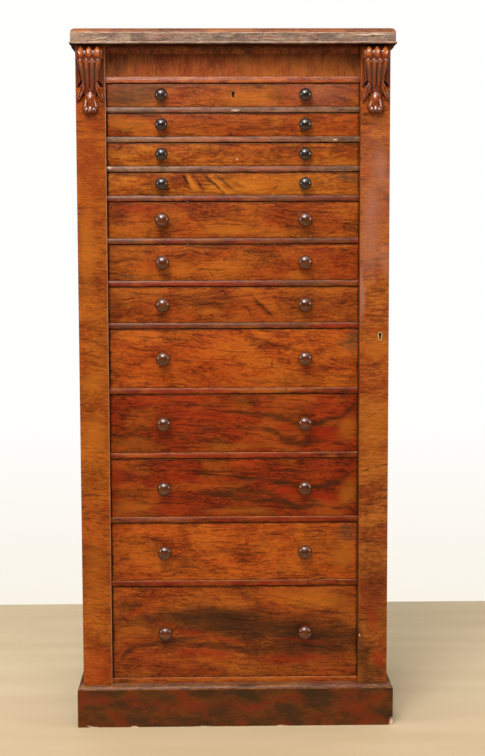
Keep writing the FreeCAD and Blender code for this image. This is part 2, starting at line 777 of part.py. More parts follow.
def make_locking_stile(pins, post, mirror_post):
    """Make the locking stile with its lock, and the keep on the post behind it."""
    foot = size["plinth_height"] + size["stile_foot_gap"]
    head = top_underside - size["stile_top_gap"]
    back_y = case_y - size["stile_back_gap"]
    level = size["stile_key_level"]
    key_x = case_half - size["stile_key_inset"]
    lock_x = case_half - size["stile_lock_inset"]
    lock_y = (back_y - size["stile_lock_thickness"], back_y)
    lock_half = size["stile_lock_width"] / 2
    lock_z = (level - size["stile_lock_height"] / 2, level + size["stile_lock_height"] / 2)
    lock_block = block("stile_lock_block", (lock_x - lock_half, lock_x + lock_half), lock_y, lock_z)

    tongue_half = size["keep_width"] / 2
    tongue_x = case_half - size["stile_bolt_inset"]
    tongue_y = (case_y - size["keep_projection"], case_y)
    tongue_z = (level - size["keep_thickness"], level)
    bolt_half = size["stile_bolt_width"] / 2
    bolt_x = (tongue_x - bolt_half, tongue_x + bolt_half)
    eye_gap = size["keep_eye_clearance"]
    bolt_front = tongue_y[0] + size["keep_eye_wall"] + eye_gap
    bolt_y = (bolt_front, bolt_front + size["stile_bolt_thickness"])
    bolt_foot = level + size["keep_clearance"] + size["bolt_end_gap"]
    bolt_z = (bolt_foot, bolt_foot + size["stile_bolt_length"])
    travel_foot = level - size["keep_thickness"] - size["stile_bolt_setback"]
    clearance = size["bolt_clearance"]
    channel = block(
        "stile_bolt_channel",
        (bolt_x[0] - clearance, bolt_x[1] + clearance),
        (bolt_y[0] - clearance, bolt_y[1] + clearance),
        (travel_foot, bolt_z[1] + clearance),
    )
    room = size["keep_clearance"]
    slot = block(
        "stile_lock_slot",
        (tongue_x - tongue_half - room, tongue_x + tongue_half + room),
        (tongue_y[0] - size["bolt_clearance"], back_y),
        (tongue_z[0] - room, tongue_z[1] + room),
    )
    key_size = (size["stile_key_head"], size["stile_key_slot"], size["stile_key_drop"])
    thread = size["stile_thread"]
    thread_size = (key_size[0] + thread, key_size[1] + thread * 2, key_size[2] + thread)
    key_z = level + size["stile_key_drop"] / 2
    hole = keyhole("stile_keyhole", key_x, (stile_y, bolt_y[1]), key_z, *key_size)
    lining_y = (stile_y, stile_y + size["thread_depth"])
    lining_block = keyhole("stile_thread_block", key_x, lining_y, key_z, *thread_size)

    stile_board = worked_board(
        "locking_stile_board", (inner_half, case_half), (stile_y, back_y), (foot, head),
        rounds=("back_right",), edge_size=size["stile_turn_round"],
    )
    keep(
        less("locking_stile", stile_board, *pins, lock_block, lining_block, hole),
        less("stile_escutcheon", lining_block, hole),
        less("stile_lock_case", lock_block, channel, slot, hole),
        block("stile_lock_bolt", bolt_x, bolt_y, bolt_z),
    )

    eye = block(
        "keep_eye",
        (bolt_x[0] - eye_gap, bolt_x[1] + eye_gap),
        (bolt_y[0] - eye_gap, bolt_y[1] + eye_gap),
        tongue_z,
    )
    tongue = block("keep_tongue", (tongue_x - tongue_half, tongue_x + tongue_half), tongue_y, tongue_z)
    plate_middle = level - size["keep_thickness"] / 2
    plate = block(
        "keep_plate",
        (tongue_x - tongue_half, tongue_x + tongue_half),
        (case_y, case_y + size["keep_plate_thickness"]),
        (plate_middle - size["keep_plate_height"] / 2, plate_middle + size["keep_plate_height"] / 2),
    )
    keep(less("stile_lock_keep", joined("keep_solid", tongue, plate), eye))
    keep(together("front_posts", less("post_right_recessed", post, plate), mirror_post))


def make_corbels():
    """Carve both corbels, one on each stile under the overhanging top."""
    middle = (case_half + inner_half) / 2
    head = top_underside - size["corbel_top_gap"]
    keep(carved_corbel("left_corbel", -middle, stile_y, head))
    keep(carved_corbel("right_corbel", middle, stile_y, head))


def keep(*things):
    """List finished pieces; each is written to a file of its own name."""
    for thing in things:
        thing.Label = thing.Name
        pieces.append(thing)


def check_and_write():
    """Stop on a failed feature or an unsound piece, then write every piece."""
    failed = [item.Name for item in doc.Objects if {"Invalid", "Error"} & set(item.State)]
    if failed:
        raise RuntimeError("features that failed: " + ", ".join(failed))
    for piece in pieces:
        if piece.Shape.isNull() or not piece.Shape.isValid() or not piece.Shape.Solids:
            raise RuntimeError(f"unsound piece: {piece.Label}")
    os.makedirs("parts", exist_ok=True)
    for piece in pieces:
        piece.Shape.exportStep(f"parts/{piece.Label}.step")
        print(piece.Label, len(piece.Shape.Solids), "solids", round(piece.Shape.Volume), "mm3")


doc = FreeCAD.newDocument("wellington_chest")
size = make_sheet()
size["zero"] = Size(0, "0")
pieces = []

# Places that many pieces share, from the middle outwards, front to back and floor to top.
case_half = size["case_width"] / 2
side_half = case_half - size["side_thickness"]
inner_half = case_half - size["stile_width"]
whole_depth = (
    size["case_depth"] + size["stile_thickness"] + size["top_front_overhang"] + size["bead_projection"]
)
back_end = whole_depth / 2
back_face = back_end - size["back_thickness"]
case_y = back_end - size["case_depth"]
stile_y = case_y - size["stile_thickness"]

# The drawers' floors, stacked from the carcass bottom up and listed from the top one down.
floor = size["plinth_height"] + size["bottom_rail_height"]
drawer_floors = []
for drawer_kind in reversed(DRAWERS):
    drawer_floors.insert(0, floor)
    floor = floor + size[f"{drawer_kind}_opening"] + size["rail_height"]
top_underside = floor + size["frieze_height"]

rail_mortise = make_drawers(drawer_floors)
right_post, left_post = make_rails(drawer_floors, rail_mortise)
make_case()
socket_spaces, pivot_pins = make_pivots()
make_top(socket_spaces["head"])
make_plinth(socket_spaces["foot"])
make_locking_stile(pivot_pins, right_post, left_post)
make_corbels()
doc.recompute()
check_and_write()
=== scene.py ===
"""A wellington chest dressed round its fixed frame: figured walnut veneers, turned knobs, carved
corbels, aged brass, and the plain studio that it stands in.

Metres, +Z up, the chest's front looks along -Y. Where a size is in millimetres, its name or its class
says so.
"""

import logging
import math
from collections.abc import Callable, Sequence
from dataclasses import dataclass, field, replace
from enum import Enum

import bpy
from mathutils import Matrix, Vector


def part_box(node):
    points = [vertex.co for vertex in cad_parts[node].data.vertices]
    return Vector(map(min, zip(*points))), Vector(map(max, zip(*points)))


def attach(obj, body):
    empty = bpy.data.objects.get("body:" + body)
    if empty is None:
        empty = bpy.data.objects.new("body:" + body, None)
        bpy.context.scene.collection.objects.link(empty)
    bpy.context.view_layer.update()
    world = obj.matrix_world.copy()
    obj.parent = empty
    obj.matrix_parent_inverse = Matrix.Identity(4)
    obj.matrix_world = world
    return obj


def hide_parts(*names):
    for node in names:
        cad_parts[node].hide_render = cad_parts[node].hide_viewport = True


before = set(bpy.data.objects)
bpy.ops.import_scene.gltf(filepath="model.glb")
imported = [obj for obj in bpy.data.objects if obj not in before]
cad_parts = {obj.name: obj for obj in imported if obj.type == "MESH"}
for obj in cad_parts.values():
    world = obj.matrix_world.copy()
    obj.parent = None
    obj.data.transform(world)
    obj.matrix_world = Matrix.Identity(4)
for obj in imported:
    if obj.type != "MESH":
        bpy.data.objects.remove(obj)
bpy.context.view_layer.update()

MM = 0.001
SAME = 1e-6  # metres within which two points are one
NEAR = 1e-5  # metres within which a point is on a level
LEANS = 0.3  # how much of its normal a face needs along a direction to look that way
ARRIS = 0.35  # the same for a rounded arris, which looks two ways
SQUARE = 0.75  # the same for a face that looks nowhere else
FLAT = math.radians(0.2)  # the bend below which two facets are one face
Thing = bpy.types.Object
Finish = bpy.types.Material
Socket = bpy.types.NodeSocket
Place = tuple[float, float, float]
Test = Callable[[Vector, Vector], bool]
log = logging.getLogger("chest")


def linear(hex_colour: str) -> tuple[float, float, float, float]:
    """Turn an sRGB hex colour into the linear values that a shader takes.

    Args:
        hex_colour: The colour as "#rrggbb".

    Returns:
        Red, green, blue and a full alpha.
    """
    parts = [int(hex_colour[i:i + 2], 16) / 255 for i in (1, 3, 5)]
    low = [part / 12.92 if part <= 0.04045 else ((part + 0.055) / 1.055) ** 2.4 for part in parts]
    return (*low, 1.0)


class Tree:
    """The nodes of a material or of the world while they are being laid."""

    def __init__(self, owner: Finish | bpy.types.World) -> None:
        """Start with no nodes.

        Args:
            owner: What the nodes belong to.
        """
        owner.use_nodes = True
        self.owner = owner
        self.tree = owner.node_tree
        self.tree.nodes.clear()

    def add(self, kind: str, inputs: dict[int | str, object], out: int | str = 0, **settings: object) -> Socket:
        """Add one node with its settings, values and links.

        Args:
            kind: The node's type, without the ShaderNode that all begin with.
            inputs: Each input's value, or the socket that feeds it, by name or number.
            out: The output that is wanted.
            settings: The node's own properties.

        Returns:
            That output.
        """
        node = self.tree.nodes.new("ShaderNode" + kind)
        for key, value in settings.items():
            setattr(node, key, value)
        for key, value in inputs.items():
            if isinstance(value, Socket):
                self.tree.links.new(value, node.inputs[key])
            else:
                node.inputs[key].default_value = value
        return node.outputs[out] if node.outputs else None


class Surface(Tree):
    """A material while its nodes are being laid, with the places on its piece to lay them by."""

    def __init__(self, name: str) -> None:
        """Start a material.

        Args:
            name: What the finish is called.
        """
        super().__init__(bpy.data.materials.new(name))
        self.place = self.add("TexCoord", {}, "Object")

    def close(self, inputs: dict[int | str, object]) -> Finish:
        """End the material in one principled shader.

        Args:
            inputs: The shader's values and links.

        Returns:
            The finished material.
        """
        self.add("OutputMaterial", {"Surface": self.add("BsdfPrincipled", inputs)})
        return self.owner


class Hand(Enum):
    """The chest's two sides, each with the way along X that it looks."""

    LEFT = -1
    RIGHT = 1

    @property
    def word(self) -> str:
        """The word that its pieces' names begin with."""
        return self.name.lower()


class Grain(Enum):
    """Which way the grain runs, as the turn that lays it along the pattern's own X."""

    ALONG_X = (0.0, 0.0, 0.0)
    ALONG_Y = (0.0, 0.0, -90.0)
    ALONG_Z = (0.0, 90.0, 0.0)


class Shade(Enum):
    """How a veneer has coloured: its dark figure, its darker streaks, its body and its pale streaks."""

    ORANGE = ("#340f02", "#6a2806", "#8e3d0a", "#ac5413")
    BROWN = ("#300e02", "#5e2506", "#7e380b", "#9c4e13")
    GOLDEN = ("#361403", "#662d07", "#843f0b", "#a8621b")
    RED = ("#200800", "#4e1702", "#702303", "#8e340a")
    DULL = ("#2a0e04", "#602a0d", "#803b14", "#985024")
    FRIEZE = ("#2a0f04", "#602c0d", "#864217", "#a15826")
    LEFT_STILE = ("#341403", "#682e07", "#843d0b", "#a25614")
    RIGHT_STILE = ("#301204", "#622c09", "#803d10", "#9e5820")
    GREY_RAIL = ("#1c0f08", "#402616", "#5c3920", "#785238")
    RED_RAIL = ("#1c0800", "#401402", "#5c1e03", "#76340a")
    ORANGE_RAIL = ("#301203", "#682807", "#883a0a", "#a25014")
    TOP = ("#221006", "#4e260d", "#6c3811", "#885428")
    BLEACHED = ("#322824", "#50433b", "#6e5c4e", "#8e7a6a")
    PLINTH = ("#1e0f05", "#3a1e08", "#52290a", "#68350e")
    LEDGE = ("#26140c", "#482c1a", "#603e2a", "#7e5a44")
    SIDE = ("#2e1206", "#62300f", "#864416", "#a26024")
    # the next three are pale arris tones: partly wear, partly painted highlight
    WORN = ("#62463a", "#826250", "#9c7c68", "#b49480")
    WORN_DARK = ("#301608", "#4a2812", "#623a1c", "#7c5030")
    WORN_ORANGE = ("#54240a", "#743610", "#8a481a", "#9e5e2c")
    # painted shade for the underside of the top
    SOOTY = ("#080403", "#0e0704", "#150b06", "#201208")


class Tone(Enum):
    """The colours that age, polish and figure have left on the veneers, and the painted sheen and painted shadow
    that are laid with them.
    """

    CRACK = "#0c0401"
    DARK = "#2a1005"
    SMOKE = "#4c1c06"
    OLIVE = "#361c08"
    RED = "#8c2204"
    RUST = "#6e2406"
    MOSS = "#2e200e"
    GOLD = "#b06416"
    # a dull grey haze: partly old polish, partly painted sheen
    HAZE = "#4e3a24"
    # painted sheen
    PURPLE = "#96604e"
    PALE = "#d8b8a0"


CRACK, DARK, SMOKE, OLIVE, RED, RUST, MOSS, GOLD, HAZE, PURPLE, PALE = Tone
THROUGH = 9.0  # metres that a mark reaches along Y, so that it shows whatever the face's depth


@dataclass(frozen=True)
class Mark:
    """A place where the veneer's colour differs, with ragged edges that follow the grain.

    Its middle, half length and half width are in millimetres on the face, and its turn in degrees
    rises to the right.
    """

    tone: Tone
    x: float
    z: float
    length: float
    width: float
    strength: float = 0.6
    turn: float = 0.0

    @property
    def broad(self) -> bool:
        """Whether it is a soft cloud, not a crisp line."""
        return min(self.length, self.width) > 2.6


@dataclass(frozen=True)
class Veneer:
    """French polished walnut veneer: an even warm ground that drifts between gold and red, with fine
    mottled pores and thin veins that follow the figure, all under an old, rubbed shellac gloss.

    Distances are in millimetres. Cloud, streak and pore are the spacings across the grain, vein is
    the spacing of the noise whose contours the veins follow, and stretch is how many times longer
    it all runs along the grain. Tint is how far the ground drifts towards the two tones of drift,
    and lines is how strong its thin dark lines are. Real pores are 0.2 mm wide; here they are as
    coarse as the render can show.
    """

    name: str
    shade: Shade
    grain: Grain = Grain.ALONG_X
    seed: float = 0.0
    slant: float = 0.0
    cloud: float = 34.0
    streak: float = 5.0
    pore: float = 1.5
    stretch: float = 8.0
    contrast: float = 1.0
    vein: float = 20.0
    vein_strength: float = 0.8
    wander: float = 7.0
    wander_length: float = 70.0
    roughness: float = 0.34
    coat: float = 0.05
    tint: float = 0.2
    drift: tuple[Tone, Tone] = (GOLD, RED)
    lines: float = 0.5
    marks: tuple[Mark, ...] = ()

    def make(self) -> Finish:
        """Lay the veneer's nodes.

        Returns:
            The material.
        """
        s = Surface(self.name)
        dark, dim, plain, pale = (linear(tone) for tone in self.shade.value)
        turn = [math.radians(part) for part in self.grain.value]
        turn[1] += math.radians(self.slant)
        along = s.add("Mapping", {"Vector": s.place, "Rotation": turn})
        along, drift = self.push(s, along, self.wander, self.wander_length)

        def layer(spacing: float, stretch: float, detail: float, distortion: float = 0.0) -> Socket:
            """Draw noise out along the grain.

            Args:
                spacing: How far apart its spots are across the grain, in millimetres.
                stretch: How many times longer they are along it.
                detail: How fine it is.
                distortion: How much it swirls.

            Returns:
                The noise.
            """
            across = 1 / (spacing * MM)
            spread = s.add("Mapping", {"Vector": along, "Scale": (across / stretch, across, across),
                                       "Location": (self.seed, self.seed * 1.7, self.seed * 0.6)})
            return s.add("TexNoise", {"Vector": spread, "Scale": 1.0, "Detail": detail, "Roughness": 0.5,
                                      "Distortion": distortion}, "Fac")

        clouds = layer(self.cloud, 2.2, 2.0, 0.4)
        streaks = layer(self.streak, self.stretch, 3.0, 0.3)
        mottle = layer(self.pore * 2.4, 2.2, 2.0, 0.4)
        pores = layer(self.pore, self.stretch * 1.3, 1.0)
        patches = layer(self.cloud * 1.6, 1.6, 1.0, 0.6)
        mixed = s.add("Math", {0: clouds, 1: 0.28}, operation="MULTIPLY")
        for part, share in ((streaks, 0.26), (mottle, 0.3), (pores, 0.2)):
            mixed = s.add("Math", {0: part, 1: share, 2: mixed}, operation="MULTIPLY_ADD")
        colour = s.add("ValToRGB", {"Fac": mixed})
        stops = colour.node.color_ramp.elements
        stops[0].position, stops[0].color = 0.5 - 0.19 / self.contrast, dark
        stops[1].position, stops[1].color = 0.5 + 0.11 / self.contrast, pale
        stops.new(0.5 - 0.08 / self.contrast).color = dim
        stops.new(0.5).color = plain

        washes = [(s.add("MapRange", {0: patches, 1: 0.5, 2: full, 3: 0.0, 4: self.tint}), linear(tone.value))
                  for tone, full in zip(self.drift, (0.62, 0.38))]
        if self.lines:
            thread = layer(self.streak * 0.8, self.stretch * 1.8, 1.0, 0.5)
            washes.append((s.add("MapRange", {0: thread, 1: 0.57, 2: 0.67, 3: 0.0, 4: self.lines}), dark))
        if self.vein_strength:
            flow = layer(self.vein, self.stretch * 0.7, 2.0, 0.5)
            contour = s.add("Math", {0: flow, 1: 0.032}, operation="PINGPONG")
            line = s.add("MapRange", {0: contour, 1: 0.0, 2: 0.01, 3: 1.0, 4: 0.0})
            where = s.add("MapRange", {0: clouds, 1: 0.54, 2: 0.4, 3: 0.0, 4: self.vein_strength})
            washes.append((s.add("Math", {0: line, 1: where}, operation="MULTIPLY"), dark))
        if self.marks:
            ways = []
            for reach, length, fray, low, high in ((2.4, 11.0, 0.9, 0.65, 1.15), (9.0, 34.0, 0.5, 0.85, 1.1)):
                ways.append((self.push(s, s.place, reach, length)[0],
                             s.add("Math", {0: streaks, 1: fray, 2: -fray / 2}, operation="MULTIPLY_ADD"),
                             s.add("MapRange", {0: mixed, 1: 0.6, 2: 0.4, 3: low, 4: high})))
            washes += [(self.cover(s, mark, *ways[mark.broad]), linear(mark.tone.value)) for mark in self.marks]
        for share, tone in washes:
            colour = s.add("Mix", {0: share, 6: colour, 7: tone}, 2, data_type="RGBA")

        gloss = s.add("MapRange", {0: streaks, 1: 0.3, 2: 0.7, 3: self.roughness + 0.05, 4: self.roughness - 0.05})
        bump = s.add("Bump", {"Strength": 0.1, "Distance": 0.0003, "Height": pores})
        bump = s.add("Bump", {"Strength": 0.2, "Distance": 0.0006, "Height": drift, "Normal": bump})
        return s.close({"Base Color": colour, "Roughness": gloss, "Specular IOR Level": 0.16,
                        "Coat Weight": self.coat, "Coat Roughness": 0.14, "Normal": bump})

    def push(self, s: Surface, place: Socket, reach: float, length: float) -> tuple[Socket, Socket]:
        """Let places wander smoothly, so that nothing runs straight.

        Args:
            s: The material.
            place: The places.
            reach: How far they go, in millimetres.
            length: How long one swing is.

        Returns:
            The new places, and the noise that moved them.
        """
        drift = s.add("TexNoise", {"Vector": place, "Scale": 1 / (length * MM), "Detail": 2.0,
                                   "Roughness": 0.5}, "Color")
        centred = s.add("VectorMath", {0: drift, 1: (0.5, 0.5, 0.5)}, operation="SUBTRACT")
        pushed = s.add("VectorMath", {0: centred, "Scale": reach * 2 * MM}, operation="SCALE")
        return s.add("VectorMath", {0: place, 1: pushed}, operation="ADD"), drift

    def cover(self, s: Surface, mark: Mark, place: Socket, ragged: Socket, grainy: Socket) -> Socket:
        """Tell how far a mark covers the colour beneath it.

        Args:
            s: The material.
            mark: The mark.
            place: Where a point lies.
            ragged: What frays the mark's edge.
            grainy: How strongly each streak of the grain takes the mark.

        Returns:
            Its share, from 0 to 1.
        """
        near = s.add("Mapping", {"Vector": place, "Location": (mark.x * MM, 0.0, mark.z * MM),
                                 "Scale": (mark.length * MM, THROUGH, mark.width * MM),
                                 "Rotation": (0, -math.radians(mark.turn), 0)}, vector_type="TEXTURE")
        reach = s.add("VectorMath", {0: near}, "Value", operation="LENGTH")
        frayed = s.add("Math", {0: reach, 1: ragged}, operation="ADD")
        edge, core = (1.5, 0.25) if mark.broad else (1.2, 0.5)
        share = s.add("MapRange", {0: frayed, 1: edge, 2: core, 3: 0.0, 4: mark.strength},
                      interpolation_type="SMOOTHSTEP")
        return s.add("Math", {0: share, 1: grainy}, operation="MULTIPLY", use_clamp=True)


@dataclass(frozen=True)
class PlainWood:
    """Planed unpolished timber: dry, pale to middling, with straight grain and a little dirt."""

    name: str
    dark: str
    light: str
    grain: Grain = Grain.ALONG_X
    spacing: float = 5.0
    seed: float = 0.0
    roughness: float = 0.62

    def make(self) -> Finish:
        """Lay the timber's nodes.

        Returns:
            The material.
        """
        s = Surface(self.name)
        turned = s.add("Mapping", {"Vector": s.place, "Rotation": [math.radians(part) for part in self.grain.value]})
        across = 1 / (self.spacing * MM)
        spread = s.add("Mapping", {"Vector": turned, "Scale": (across / 14, across, across),
                                   "Location": (self.seed, self.seed * 2.1, self.seed * 0.4)})
        rings = s.add("TexNoise", {"Vector": spread, "Scale": 1.0, "Detail": 3.0, "Distortion": 0.6}, "Fac")
        dirt = s.add("TexNoise", {"Vector": s.place, "Scale": 9.0, "Detail": 4.0}, "Fac")
        mixed = s.add("Math", {0: dirt, 1: 0.4, 2: rings}, operation="MULTIPLY_ADD")
        share = s.add("MapRange", {0: mixed, 1: 0.45, 2: 1.0})
        colour = s.add("Mix", {0: share, 6: linear(self.dark), 7: linear(self.light)}, 2, data_type="RGBA")
        bump = s.add("Bump", {"Strength": 0.2, "Distance": 0.0005, "Height": rings})
        return s.close({"Base Color": colour, "Roughness": self.roughness, "Normal": bump})


@dataclass(frozen=True)
class AgedMetal:
    """Old brass or steel that has been handled: metal showing through dull brown tarnish."""

    name: str
    metal: str
    tarnish: str
    roughness: float = 0.38
    metallic: float = 1.0

    def make(self) -> Finish:
        """Lay the metal's nodes.

        Returns:
            The material.
        """
        s = Surface(self.name)
        blotch = s.add("TexNoise", {"Vector": s.place, "Scale": 260.0, "Detail": 5.0}, "Fac")
        share = s.add("MapRange", {0: blotch, 1: 0.4, 2: 0.66})
        colour = s.add("Mix", {0: share, 6: linear(self.metal), 7: linear(self.tarnish)}, 2, data_type="RGBA")
        gloss = s.add("MapRange", {0: blotch, 1: 0.4, 2: 0.66, 3: self.roughness - 0.1, 4: self.roughness + 0.15})
        bump = s.add("Bump", {"Strength": 0.15, "Distance": 0.0003, "Height": blotch})
        return s.close({"Base Color": colour, "Metallic": self.metallic, "Roughness": gloss, "Normal": bump})


@dataclass(frozen=True)
class TurnedWood:
    """A turned hardwood knob, stained dark and polished by hands: a clear gloss over faint grain."""

    name: str
    dark: str
    light: str

    def make(self) -> Finish:
        """Lay the knob's nodes.

        Returns:
            The material.
        """
        s = Surface(self.name)
        spread = s.add("Mapping", {"Vector": s.place, "Scale": (60.0, 300.0, 260.0)})
        grain = s.add("TexNoise", {"Vector": spread, "Scale": 1.0, "Detail": 3.0}, "Fac")
        share = s.add("MapRange", {0: grain, 1: 0.38, 2: 0.66})
        colour = s.add("Mix", {0: share, 6: linear(self.dark), 7: linear(self.light)}, 2, data_type="RGBA")
        gloss = s.add("MapRange", {0: grain, 1: 0.3, 2: 0.7, 3: 0.3, 4: 0.4})
        bump = s.add("Bump", {"Strength": 0.06, "Distance": 0.0002, "Height": grain})
        return s.close({"Base Color": colour, "Roughness": gloss, "Specular IOR Level": 0.12,
                        "Coat Weight": 1.0, "Coat Roughness": 0.08, "Coat IOR": 1.55, "Normal": bump})


@dataclass(frozen=True)
class CarvedWalnut:
    """Carved and polished walnut: bright on its ridges, partly with painted highlight, and near black where polish
    fills the cuts and where shade is painted into recesses.
    """

    name: str
    ridge: str
    body: str
    hollow: str

    def make(self) -> Finish:
        """Lay the carving's nodes; how dark a place is painted, from polish in its cuts, painted shade and painted
        highlight, comes with the mesh.

        Returns:
            The material.
        """
        s = Surface(self.name)
        depth = s.add("Attribute", {}, "Fac", attribute_name="cut_depth")
        spread = s.add("Mapping", {"Vector": s.place, "Scale": (420.0, 420.0, 60.0)})
        grain = s.add("TexNoise", {"Vector": spread, "Scale": 1.0, "Detail": 3.0}, "Fac")
        worn = s.add("Math", {0: grain, 1: 0.4, 2: depth}, operation="MULTIPLY_ADD")
        ramp = s.add("ValToRGB", {"Fac": worn})
        stops = ramp.node.color_ramp.elements
        stops[0].position, stops[0].color = 0.0, linear(self.ridge)
        stops[1].position, stops[1].color = 0.95, linear(self.hollow)
        stops.new(0.26).color = linear(self.body)
        bump = s.add("Bump", {"Strength": 0.1, "Distance": 0.0003, "Height": grain})
        return s.close({"Base Color": ramp, "Roughness": 0.3, "Specular IOR Level": 0.06, "Coat Weight": 1.0,
                        "Coat Roughness": 0.1, "Coat IOR": 1.66, "Normal": bump})


def take(*pieces: Thing) -> None:
    """Select these pieces alone and make the first one active.

    Args:
        pieces: The pieces.
    """
    bpy.ops.object.select_all(action="DESELECT")
    for piece in pieces:
        piece.select_set(True)
    bpy.context.view_layer.objects.active = pieces[0]


def link(piece: Thing) -> Thing:
    """Put a new object into the scene and give it back."""
    bpy.context.scene.collection.objects.link(piece)
    return piece


def edit(piece: Thing, kind: str = "VERT", action: str = "SELECT") -> None:
    """Open one piece for editing.

    Args:
        piece: The piece.
        kind: What is picked there: VERT, EDGE or FACE.
        action: SELECT for all of it, or DESELECT for none.
    """
    take(piece)
    bpy.ops.object.mode_set(mode="EDIT")
    bpy.ops.mesh.select_mode(type=kind)
    bpy.ops.mesh.select_all(action=action)


def leave() -> None:
    """End the editing."""
    bpy.ops.object.mode_set(mode="OBJECT")


def settle(piece: Thing, name: str) -> Thing:
    """Name a new piece and put its place into its mesh.

    Args:
        piece: The piece.
        name: What it is called.

    Returns:
        The piece.
    """
    take(piece)
    bpy.ops.object.transform_apply(location=True, rotation=True, scale=True)
    piece.name = name
    piece.data.name = name
    return piece


def smooth(piece: Thing, angle: float = 32.0) -> None:
    """Shade a piece smooth across every edge that bends less than an angle in degrees."""
    take(piece)
    bpy.ops.object.shade_smooth_by_angle(angle=math.radians(angle))


def copy_of(node: str, name: str) -> Thing:
    """Copy a CAD node's shape, its loose triangles joined into whole faces.

    Args:
        node: The node.
        name: What the copy is called.

    Returns:
        The copy, not yet riding on anything.
    """
    piece = link(bpy.data.objects.new(name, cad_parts[node].data.copy()))
    piece.data.name = name
    piece.data.materials.clear()
    edit(piece)
    bpy.ops.mesh.remove_doubles(threshold=SAME)
    bpy.ops.mesh.dissolve_limited(angle_limit=FLAT)
    leave()
    bpy.ops.mesh.customdata_custom_splitnormals_clear()
    return piece


def pick_edges(piece: Thing, wanted: Test) -> int:
    """Enter edit mode with just the edges selected that a test wants.

    Args:
        piece: The piece.
        wanted: The test, given an edge's two ends.

    Returns:
        How many edges are selected.
    """
    edit(piece, "EDGE", "DESELECT")
    leave()
    points = piece.data.vertices
    count = 0
    for edge in piece.data.edges:
        edge.select = wanted(points[edge.vertices[0]].co, points[edge.vertices[1]].co)
        count += edge.select
    bpy.ops.object.mode_set(mode="EDIT")
    return count


def round_edges(piece: Thing, wanted: Test, radius: float, segments: int = 2) -> None:
    """Round some of a piece's edges.

    Args:
        piece: The piece.
        wanted: The test, given an edge's two ends.
        radius: The rounding in metres.
        segments: How many facets it gets.
    """
    if pick_edges(piece, wanted):
        bpy.ops.mesh.bevel(offset=radius, segments=segments, affect="EDGES", clamp_overlap=True)
    leave()


def rim(back: float, *levels: float) -> Test:
    """Tell the level edges of a board's front and ends.

    Args:
        back: Where its back edges run, which are left out.
        levels: The edges' levels.

    Returns:
        The test.
    """
    return lambda a, b: (min(a.y, b.y) < back - NEAR
                         and any(max(abs(a.z - level), abs(b.z - level)) < NEAR for level in levels))


def lay_on(piece: Thing, rest: Finish, *finishes: tuple[Finish, Test]) -> None:
    """Give a piece's faces their finishes by where they lie and which way they look.

    Args:
        piece: The piece.
        rest: The finish of every face that no test wants.
        finishes: Each other finish with its test, given a face's middle and its normal.
    """
    piece.data.materials.clear()
    piece.data.materials.append(rest)
    for material, _ in finishes:
        piece.data.materials.append(material)
    for polygon in piece.data.polygons:
        fitting = [number for number, (_, wanted) in enumerate(finishes, start=1)
                   if wanted(polygon.center, polygon.normal)]
        polygon.material_index = fitting[0] if fitting else 0


def mount(piece: Thing, body: str, slot: str, *nodes: str) -> None:
    """Let a finished piece ride on its body in place of CAD nodes, and report it.

    Args:
        piece: The piece.
        body: The body.
        slot: The record's material slot; it is not used.
        nodes: The nodes that it stands for.
    """
    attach(piece, body)
    if nodes:
        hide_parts(*nodes)
    log.info("%s: %d faces on %s", piece.name, len(piece.data.polygons), body)


def dress(node: str, material: Finish) -> None:
    """Give a CAD node that stays in view its finish, and report it.

    Args:
        node: The node.
        material: The finish.
    """
    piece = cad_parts[node]
    if piece.material_slots:
        piece.material_slots[0].material = material
    else:
        piece.data.materials.append(material)
    log.info("%s: kept with %s", node, material.name)


def draw_line(name: str, points: Sequence[Vector]) -> Thing:
    """Draw a line of edges through some places, as the start of a turned piece.

    Args:
        name: What the piece is called.
        points: The places, in metres.

    Returns:
        The line, left in edit mode with all of it selected.
    """
    bpy.ops.object.select_all(action="DESELECT")
    bpy.ops.mesh.primitive_plane_add(size=0.001, location=points[0])
    piece = settle(bpy.context.object, name)
    edit(piece)
    bpy.ops.mesh.merge(type="CENTER")
    here = points[0]
    for point in points[1:]:
        bpy.ops.mesh.extrude_region_move(TRANSFORM_OT_translate={"value": point - here})
        here = point
    bpy.ops.mesh.select_all(action="SELECT")
    return piece


def between(rows: Sequence[tuple[float, ...]], at: float) -> list[float]:
    """Read a table of sizes at a level between its rows, smoothly.

    Args:
        rows: Rows that each start with their level, in falling order.
        at: The level.

    Returns:
        The other columns at that level.
    """
    at = min(max(at, rows[-1][0]), rows[0][0])
    low = next(number for number in range(len(rows) - 1) if at >= rows[number + 1][0])
    t = (rows[low][0] - at) / (rows[low][0] - rows[low + 1][0])
    found = []
    for column in range(1, len(rows[0])):
        a, b = rows[low][column], rows[low + 1][column]
        before = rows[max(low - 1, 0)][column]
        after = rows[min(low + 2, len(rows) - 1)][column]
        start, end = (b - before) / 2, (after - a) / 2
        found.append((2 * t**3 - 3 * t**2 + 1) * a + (t**3 - 2 * t**2 + t) * start
                     + (3 * t**2 - 2 * t**3) * b + (t**3 - t**2) * end)
    return found


def step(low: float, high: float, value: float) -> float:
    """Rise smoothly from 0 at a low value to 1 at a high one."""
    t = min(max((value - low) / (high - low), 0.0), 1.0)
    return t * t * (3 - 2 * t)


def once(finish: PlainWood | Veneer | AgedMetal) -> Finish:
    """Put off making a shared finish until the stock that holds it is laid in."""
    return field(default_factory=finish.make)


# A pale finish for rounded arrises: partly worn polish, partly painted highlight where the arris catches the light.
WORN_AND_LIT_ARRIS = Veneer("polish_worn_pale_on_an_arris", Shade.WORN, seed=3.0, cloud=12.0, streak=2.0,
                    vein_strength=0.0, contrast=1.3)


